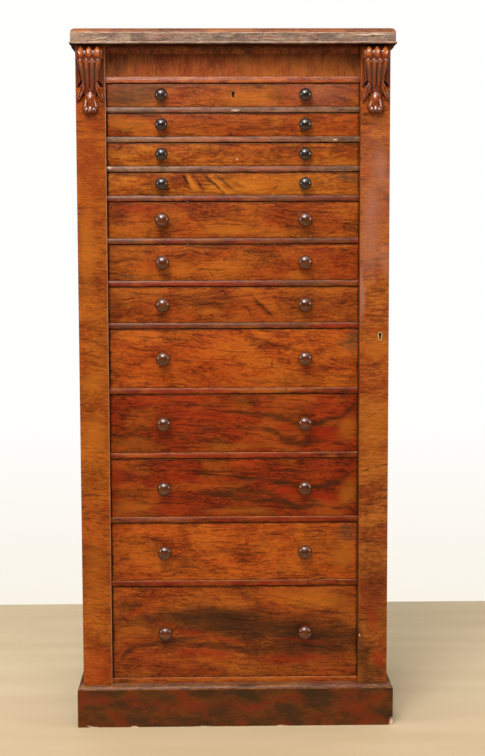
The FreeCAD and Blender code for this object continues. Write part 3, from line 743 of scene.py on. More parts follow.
@dataclass(frozen=True)
class Stock:
    """The finishes that several sub-assemblies share, each made once."""

    # Near black, far darker than planed mahogany: painted shade for faces that lie in gaps and behind.
    edge: Finish = once(PlainWood("planed_mahogany_edge", "#0e0603", "#1e0f07"))
    lining_across: Finish = once(PlainWood("drawer_lining_across", "#6a3f26", "#9c6b45", Grain.ALONG_X, 4.0))
    lining_along: Finish = once(PlainWood("drawer_lining_along", "#6a3f26", "#9c6b45", Grain.ALONG_Y, 4.0, 3.0))
    pine_upright: Finish = once(PlainWood("aged_pine_upright", "#7a5734", "#b58e5c", Grain.ALONG_Z, 9.0))
    pine_along: Finish = once(PlainWood("aged_pine_along", "#7a5734", "#b58e5c", Grain.ALONG_Y, 7.0, 5.0))
    # the three arris finishes: partly wear, partly painted highlight
    worn: Finish = once(WORN_AND_LIT_ARRIS)
    worn_dark: Finish = once(replace(WORN_AND_LIT_ARRIS, name="polish_worn_brown_on_an_arris", shade=Shade.WORN_DARK,
                                     seed=4.0, cloud=14.0, roughness=0.5, coat=0.0))
    worn_orange: Finish = once(replace(WORN_AND_LIT_ARRIS, name="polish_worn_orange_on_an_arris", shade=Shade.WORN_ORANGE,
                                       seed=5.0, cloud=16.0, roughness=0.5, coat=0.0))
    # The top's underside, painted near black as the shade beneath its overhang.
    sooty: Finish = once(Veneer("unpolished_soffit_with_old_grime", Shade.SOOTY, seed=6.0, vein_strength=0.0,
                                roughness=0.7, coat=0.0))
    brass: Finish = once(AgedMetal("aged_brass", "#b08a4a", "#5a4422"))
    thread: Finish = once(AgedMetal("dull_brass_thread", "#d8bc84", "#a07c48", 0.45, 0.35))
    # The keyhole's lining, painted near black so the keyhole reads as a shaded hole.
    black_thread: Finish = once(AgedMetal("brass_thread_gone_black", "#2c1c0c", "#120a04", 0.5, 0.4))
    steel: Finish = once(AgedMetal("old_drawn_steel", "#8a8782", "#4c4640", 0.42))


@dataclass
class Studio:
    """The floor, the soft light and the camera, which looks from where the photograph does."""

    camera_mm: Place = (-38.0, -2954.0, 937.0)
    yaw: float = -1.10
    pitch: float = -5.67
    roll: float = 0.18
    lens_mm: float = 71.43
    floor_end: float = 0.75
    floor_half: float = 3.0
    lamps: tuple[tuple[str, Place, tuple[float, float], float, Place], ...] = (
        ("overhead", (-0.35, -1.75, 2.7), (2.0, 2.0), 40.0, (-0.1, -0.1, 0.5)),
        ("key", (-0.5, -1.95, 2.65), (0.9, 0.75), 42.0, (-0.05, -0.1, 0.6)),
        ("left_window", (-2.4, -1.05, 1.35), (0.5, 1.1), 16.0, (0.0, -0.2, 0.8)),
        ("right_window", (2.4, -1.05, 1.35), (0.5, 1.1), 16.0, (0.0, -0.2, 0.8)),
    )

    def set_camera(self) -> None:
        """Put the camera where it stands."""
        data = bpy.data.cameras.new("camera")
        data.lens = self.lens_mm
        data.sensor_width = 36.0
        camera = link(bpy.data.objects.new("camera", data))
        aim = Matrix.Translation(Vector(self.camera_mm) * MM)
        for angle, axis in ((self.yaw, "Z"), (self.pitch, "X"), (self.roll, "Y"), (90.0, "X")):
            aim = aim @ Matrix.Rotation(math.radians(angle), 4, axis)
        camera.matrix_world = aim
        bpy.context.scene.camera = camera

    def lay_floor(self) -> None:
        """Lay the pale floor, which ends a little way behind the chest."""
        bpy.ops.object.select_all(action="DESELECT")
        bpy.ops.mesh.primitive_grid_add(x_subdivisions=2, y_subdivisions=2, size=1)
        floor = bpy.context.object
        depth = self.floor_half + self.floor_end
        floor.scale = (self.floor_half * 2, depth, 1)
        floor.location = (0, self.floor_end - depth / 2, 0)
        settle(floor, "floor")
        s = Surface("pale_floor")
        spread = s.add("Mapping", {"Vector": s.place, "Scale": (2.0, 12.0, 1.0)})
        cloud = s.add("TexNoise", {"Vector": spread, "Scale": 1.0, "Detail": 5.0}, "Fac")
        share = s.add("MapRange", {0: cloud, 1: 0.3, 2: 0.7})
        colour = s.add("Mix", {0: share, 6: linear("#cdb994"), 7: linear("#dac7a5")}, 2, data_type="RGBA")
        # The floor is painted darker towards the front: painted shade that offsets the lamps lighting the front
        # more.
        depth = s.add("SeparateXYZ", {"Vector": s.place}, "Y")
        painted_shade_to_front = s.add("MapRange", {0: depth, 1: 0.1, 2: -0.75, 3: 0.0, 4: 0.75})
        colour = s.add("Mix", {0: painted_shade_to_front, 6: colour, 7: linear("#a38862")}, 2, data_type="RGBA")
        floor.data.materials.append(s.close({"Base Color": colour, "Roughness": 0.5}))

    def hang(self, name: str, place: Place, size: tuple[float, float], power: float, target: Place) -> None:
        """Hang one soft light.

        Args:
            name: What it is called.
            place: Where it hangs, in metres.
            size: Its width and height.
            power: Its power in watts.
            target: What it looks at.
        """
        data = bpy.data.lights.new(name, "AREA")
        data.shape = "RECTANGLE"
        data.size, data.size_y = size
        data.energy = power
        data.color = (1.0, 0.97, 0.93)
        lamp = link(bpy.data.objects.new(name, data))
        lamp.location = place
        lamp.rotation_mode = "QUATERNION"
        lamp.rotation_quaternion = (Vector(target) - Vector(place)).to_track_quat("-Z", "Y")

    def set_room(self) -> None:
        """Fill the room: a white backdrop, soft light for all, and a dark room under a bright ceiling to mirror."""
        world = bpy.data.worlds.new("studio")
        s = Tree(world)
        level = s.add("SeparateXYZ", {0: s.add("TexCoord", {}, "Generated")}, "Z")
        # The backdrop is warmed towards its foot: painted bounce light from the floor.
        lift = s.add("MapRange", {0: level, 1: -0.24, 2: -0.12})
        backdrop = s.add("Mix", {0: lift, 6: linear("#faf4e8"), 7: linear("#fffffd")}, 2, data_type="RGBA")
        seen = s.add("Background", {0: backdrop, 1: 1.0})
        fill = s.add("Background", {0: (1.0, 0.98, 0.95, 1.0), 1: 0.6})
        glow = s.add("MapRange", {0: level, 1: 0.42, 2: 0.8, 3: 0.06, 4: 1.7})
        mirrored = s.add("Background", {0: (1.0, 0.97, 0.92, 1.0), 1: glow})
        unseen = s.add("MixShader", {0: s.add("LightPath", {}, "Is Glossy Ray"), 1: fill, 2: mirrored})
        room = s.add("MixShader", {0: s.add("LightPath", {}, "Is Camera Ray"), 1: unseen, 2: seen})
        s.add("OutputWorld", {0: room})
        bpy.context.scene.world = world
        bpy.context.scene.view_settings.view_transform = "Standard"

    def build(self) -> None:
        """Set up the whole studio."""
        self.set_camera()
        self.lay_floor()
        for lamp in self.lamps:
            self.hang(*lamp)
        self.set_room()


@dataclass
class TopBoard:
    """The top with its veneered edge, its bead and the cove beneath, in metres.

    The bead stands proud by bead_reach, and a pale line of wear and painted highlight shows up to
    worn_bead above the board's foot. The bead's pale faces look up by the two shares in worn_lean.
    """

    stock: Stock
    rounding: float = 0.0094
    bead_rise: float = 0.004
    bead_reach: float = 0.0022
    bead_arris: float = 0.0013
    worn_bead: float = 0.006
    worn_lean: tuple[float, float] = (0.2, 0.9)
    veneer: Veneer = Veneer("walnut_top_veneer", Shade.TOP, seed=4.0, cloud=40.0)
    cove_veneer: Veneer = Veneer(
        "dark_walnut_cove", Shade.DULL, Grain.ALONG_Z, seed=21.0, cloud=22.0, streak=4.5, stretch=7.0,
        # The crack-dark mark along the cove's upper part is painted shadow under the top's overhang.
        vein_strength=0.0, wander=2.0, marks=(Mark(CRACK, 0, 1274, 900, 14, 0.75),))
    edge_veneer: Veneer = Veneer(
        "bleached_walnut_edge_veneer", Shade.BLEACHED, seed=8.0, cloud=16.0, streak=2.6, pore=1.2, stretch=12.0,
        vein=10.0, roughness=0.42, tint=0.12,
        marks=(
            Mark(DARK, 240, 1282, 10, 0.7, 0.9, -4), Mark(DARK, 258, 1282, 14, 0.7, 0.9, 3),
            Mark(DARK, 280, 1283.4, 14, 0.7, 0.9, 6), Mark(PALE, 250, 1285, 40, 1.1, 0.8),
            Mark(DARK, -146, 1281, 6, 0.6, 0.6, -50), Mark(PALE, -239, 1278, 16, 0.8, 0.6, 10),
            Mark(RED, -132, 1281, 30, 3, 0.25), Mark(RED, 60, 1280, 40, 3, 0.2)))

    def build(self) -> None:
        """Build the top board and dress the moulding."""
        low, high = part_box("top_board")
        reach = self.bead_reach
        pieces = []
        for name, grow, top in (("fascia", 0.0, high.z), ("bead", reach, low.z + self.bead_rise)):
            bottom = low.z if grow else low.z + self.bead_rise / 2
            size = Vector((high.x - low.x - 2 * (reach - grow), high.y - low.y - (reach - grow), top - bottom))
            middle = Vector((0, high.y - size.y / 2, (top + bottom) / 2))
            bpy.ops.object.select_all(action="DESELECT")
            bpy.ops.mesh.primitive_cube_add(size=1, location=middle, scale=size)
            piece = settle(bpy.context.object, name)
            if grow:
                round_edges(piece, rim(high.y, top, bottom), self.bead_arris, 3)
            else:
                round_edges(piece, rim(high.y, top), self.rounding, 10)
            pieces.append(piece)
        take(*pieces)
        bpy.ops.object.join()
        board = settle(pieces[0], "top_board_veneered")
        fillet_foot, (least, most) = high.z - self.rounding, self.worn_lean
        # The underside gets the near-black soffit finish, painted shade; the rounding's lowest facets and the bead's
        # upper faces get the pale arris finish, partly wear and partly painted highlight.
        lay_on(board, self.veneer.make(),
               (self.stock.sooty, lambda middle, normal: normal.z < -LEANS),
               (self.stock.worn, lambda middle, normal: 0.05 < normal.z < least
                and middle.z > fillet_foot - 10 * NEAR),
               (self.stock.worn, lambda middle, normal: least < normal.z < most
                and middle.z < low.z + self.worn_bead),
               (self.edge_veneer.make(), lambda middle, normal: middle.z < fillet_foot))
        smooth(board)
        mount(board, "carcass", "case_veneer", "top_board")
        dress("bed_moulding", self.cove_veneer.make())


@dataclass
class Case:
    """The fixed case: sides, back, bottom, frieze, left stile, posts and runners."""

    stock: Stock
    side_veneer: Veneer = Veneer("walnut_side_veneer", Shade.SIDE, Grain.ALONG_Z, seed=11.0, cloud=60.0,
                                 streak=7.0, stretch=12.0, vein=40.0, contrast=0.7, tint=0.1)
    frieze_veneer: Veneer = Veneer(
        "walnut_frieze_veneer", Shade.FRIEZE, Grain.ALONG_Z, seed=21.0, cloud=24.0, streak=3.0, pore=1.2,
        stretch=12.0, vein=12.0, vein_strength=0.1, wander=2.0, contrast=0.75, lines=0.15,
        marks=(
            # The olive and crack marks along the top and the olive ones beside the corbels are painted shadow of the
            # top and the corbels; the red and gold ones are figure.
            Mark(OLIVE, 0, 1270, 400, 20, 0.9), Mark(CRACK, 0, 1270, 400, 8), Mark(OLIVE, -218, 1240, 22, 34, 0.55),
            Mark(OLIVE, 222, 1245, 18, 34, 0.5), Mark(OLIVE, -150, 1256, 24, 20, 0.3),
            Mark(RED, -80, 1236, 40, 22, 0.2), Mark(GOLD, 60, 1240, 50, 20, 0.2)))
    stile_veneer: Veneer = Veneer(
        "walnut_left_stile_veneer", Shade.LEFT_STILE, seed=31.0, slant=-4, cloud=36.0, streak=3.4,
        stretch=7.0, vein_strength=0.3, contrast=0.9,
        marks=(
            Mark(SMOKE, -262, 1040, 30, 100, 0.35), Mark(RED, -262, 1040, 26, 90, 0.25),
            Mark(GOLD, -268, 900, 14, 90, 0.35), Mark(SMOKE, -262, 842, 26, 8, 0.35, -10),
            Mark(SMOKE, -262, 790, 24, 6, 0.3, -8), Mark(SMOKE, -258, 732, 28, 4, 0.4, -12),
            Mark(SMOKE, -262, 706, 24, 3, 0.45, -14), Mark(SMOKE, -268, 690, 16, 3, 0.4, -12),
            Mark(GOLD, -262, 655, 24, 16, 0.4, 10), Mark(SMOKE, -268, 604, 14, 5, 0.4),
            Mark(GOLD, -262, 560, 22, 30, 0.3), Mark(SMOKE, -262, 412, 30, 3, 0.35, 5),
            Mark(DARK, -277, 378, 4, 4, 0.6, 20), Mark(GOLD, -262, 300, 20, 60, 0.25),
            Mark(RED, -262, 110, 30, 42, 0.5), Mark(SMOKE, -262, 150, 28, 6, 0.3)))

    def build(self) -> None:
        """Build the case's pieces from the frame's."""
        side = self.side_veneer.make()
        for hand in Hand:
            panel = copy_of(f"{hand.word}_side_panel", f"{hand.word}_side_veneered")
            # Every face but the outer one gets the near-black edge finish, painted shade.
            lay_on(panel, self.stock.edge, (side, lambda middle, normal: normal.x * hand.value > LEANS))
            smooth(panel)
            mount(panel, "carcass", "case_veneer", f"{hand.word}_side_panel")

        stile = copy_of("left_stile", "left_stile_veneered")
        # The inner arris gets the pale arris finish, partly wear and partly painted highlight.
        lay_on(stile, self.stile_veneer.make(),
               (self.stock.worn, lambda middle, normal: normal.x > ARRIS and normal.y < -ARRIS))
        smooth(stile, 50)
        mount(stile, "carcass", "case_veneer", "left_stile")

        dress("frieze_panel", self.frieze_veneer.make())
        dress("back_boards", self.stock.pine_upright)
        dress("front_posts", self.stock.pine_upright)
        dress("drawer_runners", self.stock.pine_along)


@dataclass
class Rails:
    """The rails between the drawers and the front edge of the carcass bottom.

    The levels, in metres, part the rails by how their polish has aged and by how much painted sheen and painted
    highlight they carry.
    """

    stock: Stock
    top_rail: float = 1.19
    grey_above: float = 1.02
    dark_above: float = 0.65
    bottom_rail: float = 0.1
    # The upper rails' grey is partly aged polish and partly painted sheen, and their haze marks are painted sheen.
    grey: Veneer = Veneer(
        "walnut_rail_facing_gone_grey", Shade.GREY_RAIL, seed=41.0, cloud=16.0, streak=2.4, stretch=22.0,
        vein=9.0, roughness=0.4, tint=0.1,
        marks=(
            Mark(HAZE, 0, 1155, 110, 4, 0.35), Mark(PALE, 4, 1154, 9, 2.4, 0.5), Mark(HAZE, -190, 1155, 40, 4, 0.35),
            Mark(RED, -90, 1155, 60, 5, 0.2), Mark(PALE, 187, 1100, 4, 1.2, 0.7), Mark(RED, 0, 1101, 120, 5, 0.35),
            Mark(PALE, -228, 1053, 4, 4, 0.7, 20), Mark(RED, 60, 1047, 100, 5, 0.35),
            Mark(GOLD, -60, 1101, 120, 5, 0.2)))
    # Its haze and purple marks are painted sheen.
    red: Veneer = Veneer(
        "walnut_rail_facing_red", Shade.RED_RAIL, seed=42.0, cloud=16.0, streak=2.4, stretch=22.0, vein=9.0,
        roughness=0.36,
        marks=(
            Mark(HAZE, -180, 994, 60, 5, 0.4), Mark(HAZE, 100, 994, 90, 5, 0.35), Mark(RED, -100, 837, 130, 5, 0.4),
            Mark(HAZE, 130, 837, 60, 5, 0.5), Mark(HAZE, -200, 915, 40, 5, 0.4), Mark(HAZE, 20, 758, 120, 5, 0.4),
            Mark(HAZE, 150, 915, 60, 5, 0.35), Mark(HAZE, -190, 758, 40, 5, 0.4), Mark(RED, 190, 758, 40, 5, 0.55),
            Mark(RED, -80, 637, 150, 5, 0.45), Mark(GOLD, 60, 637, 80, 5, 0.35), Mark(DARK, 96, 636, 3, 3),
            Mark(RED, -40, 515, 190, 5, 0.5), Mark(GOLD, -190, 515, 30, 5, 0.4), Mark(RED, 100, 393, 130, 5, 0.4),
            Mark(PURPLE, -140, 393, 80, 5, 0.25), Mark(RED, -20, 271, 200, 5, 0.4)))
    orange: Veneer = Veneer(
        "walnut_rail_facing_orange", Shade.ORANGE_RAIL, seed=44.0, cloud=18.0, streak=2.4, stretch=22.0, vein=9.0,
        marks=(
            Mark(DARK, -212, 84, 14, 6, 0.7), Mark(RED, 90, 83, 14, 4, 0.5), Mark(GOLD, 0, 84, 120, 4, 0.35)))

    def build(self) -> None:
        """Build the rails from the frame's, with a pale line on their upper arris, partly wear and partly painted
        highlight.
        """
        grey, red, orange = self.grey.make(), self.red.make(), self.orange.make()

        def arris(normal: Vector) -> bool:
            """Tell whether a face is part of a rail's rounded upper arris."""
            return normal.y < -LEANS < LEANS < normal.z

        for node, name in (("drawer_rails", "drawer_rails_faced"), ("carcass_bottom", "carcass_bottom_faced")):
            rails = copy_of(node, name)
            # Hidden faces get the near-black edge finish, painted shade; the upper arris gets the pale finishes,
            # wear and painted highlight.
            lay_on(rails, self.stock.edge,
                   (self.stock.worn, lambda middle, normal: arris(normal) and middle.z > self.top_rail),
                   (self.stock.worn_dark, lambda middle, normal: arris(normal) and middle.z > self.dark_above),
                   (self.stock.worn_orange, lambda middle, normal: arris(normal)),
                   (orange, lambda middle, normal: normal.y < -LEANS
                    and not self.bottom_rail < middle.z < self.top_rail),
                   (grey, lambda middle, normal: normal.y < -LEANS and middle.z > self.grey_above),
                   (red, lambda middle, normal: normal.y < -LEANS))
            smooth(rails, 60)
            mount(rails, "carcass", "rail_wood", node)


@dataclass(frozen=True)
class Lobe:
    """One carved lobe, as rows of level, middle, half width and rise in millimetres, from its head down.

    Ridges lie side by side on it, cut apart by grooves as deep as cut says, but only below the level
    cut_below. Fullness is the power that rounds it from side to side, and worn is how much wear and
    painted highlight lighten it.
    """

    rows: tuple[tuple[float, float, float, float], ...]
    ridges: int = 1
    cut: float = 0.8
    fullness: float = 2.6
    cut_below: float = 200.0
    worn: float = 0.0

    def height(self, x: float, z: float) -> tuple[float, float]:
        """Give the lobe's height at a place.

        Args:
            x: The place, across.
            z: The place, up.

        Returns:
            How far the lobe stands proud, and how dark it is painted there: polish in its cuts, lightened by painted
            highlight.
        """
        if not self.rows[-1][0] <= z <= self.rows[0][0]:
            return 0.0, 0.0
        middle, half, rise = between(self.rows, z)
        s = abs(x - middle) / max(half, 0.1)
        if s >= 1:
            return 0.0, 0.0
        groove = 1 - abs(math.sin((x - middle + half) / (2 * half) * math.pi * self.ridges)) ** 0.7
        shallow = min(1.0, half / 4) * (1 - step(self.cut_below - 5, self.cut_below, z))
        return (max(rise * (1 - s ** self.fullness) ** 0.5 - self.cut * groove * shallow, 0.0),
                0.45 * groove * shallow - self.worn)


@dataclass
class Corbel:
    """A carved acanthus console: a fluted head, four strands below it, two side leaves and a tip.

    All in millimetres. The skin is a grid of so many cells across and so many rows up. Flutes end at
    the neck and their ribs stand rim_rise higher than their mouths; roll is the radius that rounds
    the head. Tongue_rise is how deep the grooves between the strands are. Body has rows of level,
    half width of the front, rise and half width at the stile. Ground is how high a thin sheet stands
    between the leaves, painted dark as their shadow, and what is thinner than thinnest is cut away.
    Low against the stile the skin is painted darker, as shade.
    """

    half_mm: float = 25.9
    height_mm: float = 120.4
    across: int = 112
    rows: int = 200
    flute_pitch: float = 15.0
    flute_depth: float = 3.2
    neck: float = 97.0
    rim_rise: float = 5.2
    roll: float = 7.6
    tongue_rise: float = 1.7
    finish: CarvedWalnut = CarvedWalnut("carved_polished_walnut", "#a45824", "#5e2004", "#140602")
    body: tuple[tuple[float, float, float, float], ...] = (
        (121, 22.5, 30.2, 25.6), (110, 22.5, 30.9, 25.8), (100, 22.0, 29.2, 25.6), (92, 21.0, 26.8, 25.4),
        (80, 19.4, 22.8, 25.2), (66, 18.0, 17.2, 25.4), (51, 16.6, 12.4, 25.8), (41, 14.6, 10.4, 25.0),
        (32, 11.5, 9.2, 24.0), (26, 9.0, 7.0, 24.0), (22, 6.5, 3.0, 24.0),
    )
    leaf: Lobe = Lobe(((56, 12.0, 3.0, 10.8), (48, 14.0, 5.4, 11.6), (39, 16.8, 6.6, 11.4), (31, 19.8, 5.6, 10.0),
                       (25, 22.2, 3.5, 7.6), (20, 24.4, 1.1, 4.0)), 2, 2.0, worn=0.06)
    tip: Lobe = Lobe(((39, 0.0, 8.0, 9.6), (31, 0.0, 11.6, 13.0), (21, 0.0, 14.4, 14.2), (13, 0.0, 15.6, 13.0),
                      (7, 0.0, 15.2, 15.0), (3, 0.0, 13.0, 14.6), (0.0, 0.0, 9.0, 10.0)), 3, 1.8, 2.0, 14.0)
    ground: float = 0.9
    thinnest: float = 0.5

    def front(self, x: float, z: float, half: float) -> tuple[float, float]:
        """Cut the console's front: scooped flutes above the neck, strands that flow down below it.

        Args:
            x: The place, across.
            z: The place, up.
            half: Half the front's width there.

        Returns:
            How deep the carver cut, and how dark it is painted: polish in the cuts, with painted highlight on the
            head's ribs.
        """
        neck = self.neck
        if z > neck:
            part = self.flute(x)
            scooped = step(neck, neck + 14, z)
            fluted = self.flute_depth * (1 - (1 - part) ** 2) * scooped
            band = 0.8 * step(neck + 8, neck + 2, z)
            # The head is painted lighter, most on its ribs, as highlight; the flutes' deep middles are darker.
            return fluted + band, 0.1 * step(neck + 7, neck - 1, z) - scooped * (0.32 - 0.8 * part ** 2)
        place = (x / half + 1) * 2
        part = min(abs(place - math.floor(place) - 0.5) * 2, 1.0)
        arch = 6 * part ** 2
        started = step(neck - arch, neck - 3 - arch, z)
        faded = 0.55 + 0.45 * step(40, 80, z)
        groove = 1 - (1 - part ** 2) ** 0.5
        return (1.6 * (1 - started) + started * faded * self.tongue_rise * groove,
                0.12 * (1 - started) + started * (0.12 * step(90, 74, z) - 0.1 * (1 - part) + 0.55 * part ** 3))

    def flute(self, x: float) -> float:
        """Give how far across a flute a place lies, from 0 on the rib beside it to 1 in its middle."""
        return abs(x / self.flute_pitch - round(x / self.flute_pitch)) * 2

    def console(self, x: float, z: float) -> tuple[float, float]:
        """Give the console's height at a place: its front, or the pipes that run down its flanks.

        Args:
            x: The place, across.
            z: The place, up.

        Returns:
            How far the console stands proud, and how dark it is painted there: polish in its cuts, painted shadow on
            the sheet between the leaves, and painted highlight on the flanks above the neck.
        """
        half, rise, foot = between(self.body, z)
        s = abs(x)
        top = self.height_mm - self.rim_rise * (1 - (1 - min(self.flute(x), 1.0)) ** 2)
        if z > top or z < self.body[-1][0]:
            return 0.0, 0.0
        rolled = 0.6 + 0.4 * math.sqrt(max(1 - (max(z - top + self.roll - 0.6, 0.0) / self.roll) ** 2, 0.0))
        if s <= half:
            cut, dark = self.front(x, z, half)
            side = 1.0 if z > 58 else (1 - (s / half) ** 5) ** 0.5
            bulge = 1 - (0.07 + 0.2 * step(86, 66, z)) * (s / half) ** 2
            return max((rise * bulge - cut) * rolled * side, 0.0), dark
        if s >= foot or z < 48 + (25 - s) * 1.25:
            # The thin sheet between the leaves is painted dark, as shadow.
            return (self.ground, 0.3) if s < foot - 3 and z > 60 - 0.6 * s else (0.0, 0.0)
        t = (s - half) / (foot - half)
        pipe = abs(math.sin(t * math.pi * 2)) ** 0.7
        depth = min(1.0, (foot - half) / 8)
        low = 1 - step(44, 70, z)
        lean = (1 - 0.62 * t) * 0.93 * (1 - low) + 0.34 * low
        head = 0.1 * math.sin(math.pi * min(t * 1.4, 1.0)) * step(93, 100, z)
        edge = (1 - t ** 6) ** 0.5
        # Above the neck the flanks are painted lighter, as highlight.
        return (max((rise * (lean + head) - 1.6 * depth * (1 - pipe)) * rolled * edge, 0.0),
                (0.2 + 0.4 * depth) * (1 - pipe) - 0.25 * (z > self.neck))

    def carve(self, name: str, middle: float, foot: float, back: float) -> Thing:
        """Carve the whole corbel as one skin over a fine grid, then close it against the stile.

        Args:
            name: What it is called.
            middle: The corbel's middle, in metres along X.
            foot: The level of its tip's foot.
            back: The stile's face, along Y.

        Returns:
            The corbel.
        """
        points, painted_cut_tones, faces, numbers = [], [], [], {}
        for row in range(self.rows + 1):
            z = self.height_mm * row / self.rows
            for column in range(self.across + 1):
                x = self.half_mm * (column / self.across * 2 - 1)
                height, dark = max(self.console(x, z), self.leaf.height(abs(x), z), self.tip.height(x, z))
                if height > self.thinnest:
                    numbers[row, column] = len(points)
                    points.append(Vector((middle + x * MM, back - height * MM, foot + z * MM)))
                    # Low against the stile the skin is painted darker, as shade.
                    painted_cut_tones.append(dark + 0.3 * (1 - step(self.thinnest, 3.0, height)))
        for row in range(self.rows):
            for column in range(self.across):
                corners = [(row, column), (row, column + 1), (row + 1, column + 1), (row + 1, column)]
                if all(corner in numbers for corner in corners):
                    faces.append([numbers[corner] for corner in corners])
        mesh = bpy.data.meshes.new(name)
        mesh.from_pydata(points, [], faces)
        depth = mesh.attributes.new("cut_depth", "FLOAT", "POINT")
        depth.data.foreach_set("value", painted_cut_tones)
        piece = link(bpy.data.objects.new(name, mesh))
        edit(piece)
        bpy.ops.mesh.delete_loose(use_verts=True, use_edges=True, use_faces=False)
        bpy.ops.mesh.select_mode(type="EDGE")
        bpy.ops.mesh.select_all(action="DESELECT")
        bpy.ops.mesh.select_non_manifold(extend=False, use_wire=False, use_multi_face=False,
                                         use_non_contiguous=False, use_verts=False)
        bpy.ops.mesh.vertices_smooth(factor=0.5, repeat=2)
        bpy.ops.mesh.extrude_edges_move()
        bpy.ops.transform.resize(value=(1, 0, 1), center_override=(middle, back, foot))
        bpy.ops.mesh.edge_face_add()
        bpy.ops.mesh.select_all(action="SELECT")
        bpy.ops.mesh.normals_make_consistent(inside=False)
        leave()
        return piece

    def build(self, hand: Hand, body: str, material: Finish) -> None:
        """Carve one of the corbels.

        Args:
            hand: The side that it is on.
            body: The body that it rides on.
            material: Its finish.
        """
        node = f"{hand.word}_corbel"
        low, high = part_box(node)
        corbel = self.carve(f"{node}_carved", (low.x + high.x) / 2, low.z, high.y)
        corbel.data.materials.append(material)
        smooth(corbel, 50)
        mount(corbel, body, "carved_walnut", node)


@dataclass
class LockingStile:
    """The stile on the right that turns on pins, with its lock and its keyhole.

    Its veneer wraps round both sides and stops short of the back by bare_back, in metres.
    """

    stock: Stock
    bare_back: float = 0.004
    veneer: Veneer = Veneer(
        "walnut_locking_stile_veneer", Shade.RIGHT_STILE, seed=51.0, slant=2, cloud=34.0, streak=3.4,
        stretch=6.0, vein_strength=0.35, contrast=0.95,
        marks=(
            # The purple marks are painted sheen.
            Mark(PURPLE, 262, 1010, 30, 110, 0.3), Mark(PURPLE, 250, 903, 20, 60, 0.45),
            Mark(PURPLE, 272, 1050, 12, 40, 0.45, 10), Mark(PURPLE, 252, 975, 14, 34, 0.4),
            Mark(RED, 243, 1040, 8, 14, 0.4), Mark(SMOKE, 262, 1085, 26, 12, 0.35, 10),
            Mark(PURPLE, 237, 815, 6, 50, 0.75), Mark(PURPLE, 280, 880, 10, 30, 0.5),
            Mark(SMOKE, 268, 826, 16, 3, 0.5, -10), Mark(DARK, 276, 820, 8, 2, 0.5, 30),
            Mark(RED, 262, 752, 20, 8, 0.35), Mark(GOLD, 262, 712, 26, 22, 0.4), Mark(DARK, 262, 684, 10, 6, 0.5),
            Mark(DARK, 284, 684, 5, 1.4, 0.6, 20), Mark(GOLD, 262, 560, 26, 60, 0.35),
            Mark(SMOKE, 255, 590, 18, 2, 0.4, 30), Mark(CRACK, 246, 487, 12, 1.5, 0.85, 25),
            Mark(CRACK, 266, 494, 12, 1.3, 0.8, 12), Mark(CRACK, 282, 497, 8, 1.1, 0.7, 8),
            Mark(SMOKE, 262, 452, 26, 3, 0.45, -4), Mark(SMOKE, 262, 430, 26, 3, 0.4, 4),
            Mark(SMOKE, 256, 408, 20, 3, 0.45, -4), Mark(SMOKE, 262, 380, 26, 3, 0.4),
            Mark(SMOKE, 262, 352, 26, 3, 0.35, -5), Mark(SMOKE, 262, 250, 30, 80, 0.5),
            Mark(OLIVE, 240, 150, 12, 70, 0.7, 10), Mark(OLIVE, 262, 100, 30, 24),
            Mark(RED, 261, 204, 8, 26, 0.5, 12), Mark(RED, 273, 122, 10, 14), Mark(OLIVE, 254, 145, 8, 18, 0.6, -30),
            Mark(PALE, 235.5, 170, 1.4, 3, 0.9)))

    def build(self) -> None:
        """Build the stile and dress its metalwork."""
        stile = copy_of("locking_stile", "locking_stile_veneered")
        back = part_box("locking_stile")[1].y
        # Faces other than the veneered ones get the near-black edge finish, painted shade.
        lay_on(stile, self.stock.edge,
               (self.veneer.make(), lambda middle, normal: (normal.y < -LEANS or abs(normal.x) > LEANS)
                and middle.y < back - self.bare_back))
        smooth(stile, 50)
        mount(stile, "locking_stile", "case_veneer", "locking_stile")
        for node in ("pivot_sockets", "stile_lock_keep", "stile_lock_case", "stile_lock_bolt",
                     "drawer_lock_case", "drawer_lock_bolt"):
            dress(node, self.stock.brass)
        dress("stile_escutcheon", self.stock.thread)
        dress("pivot_pins", self.stock.steel)


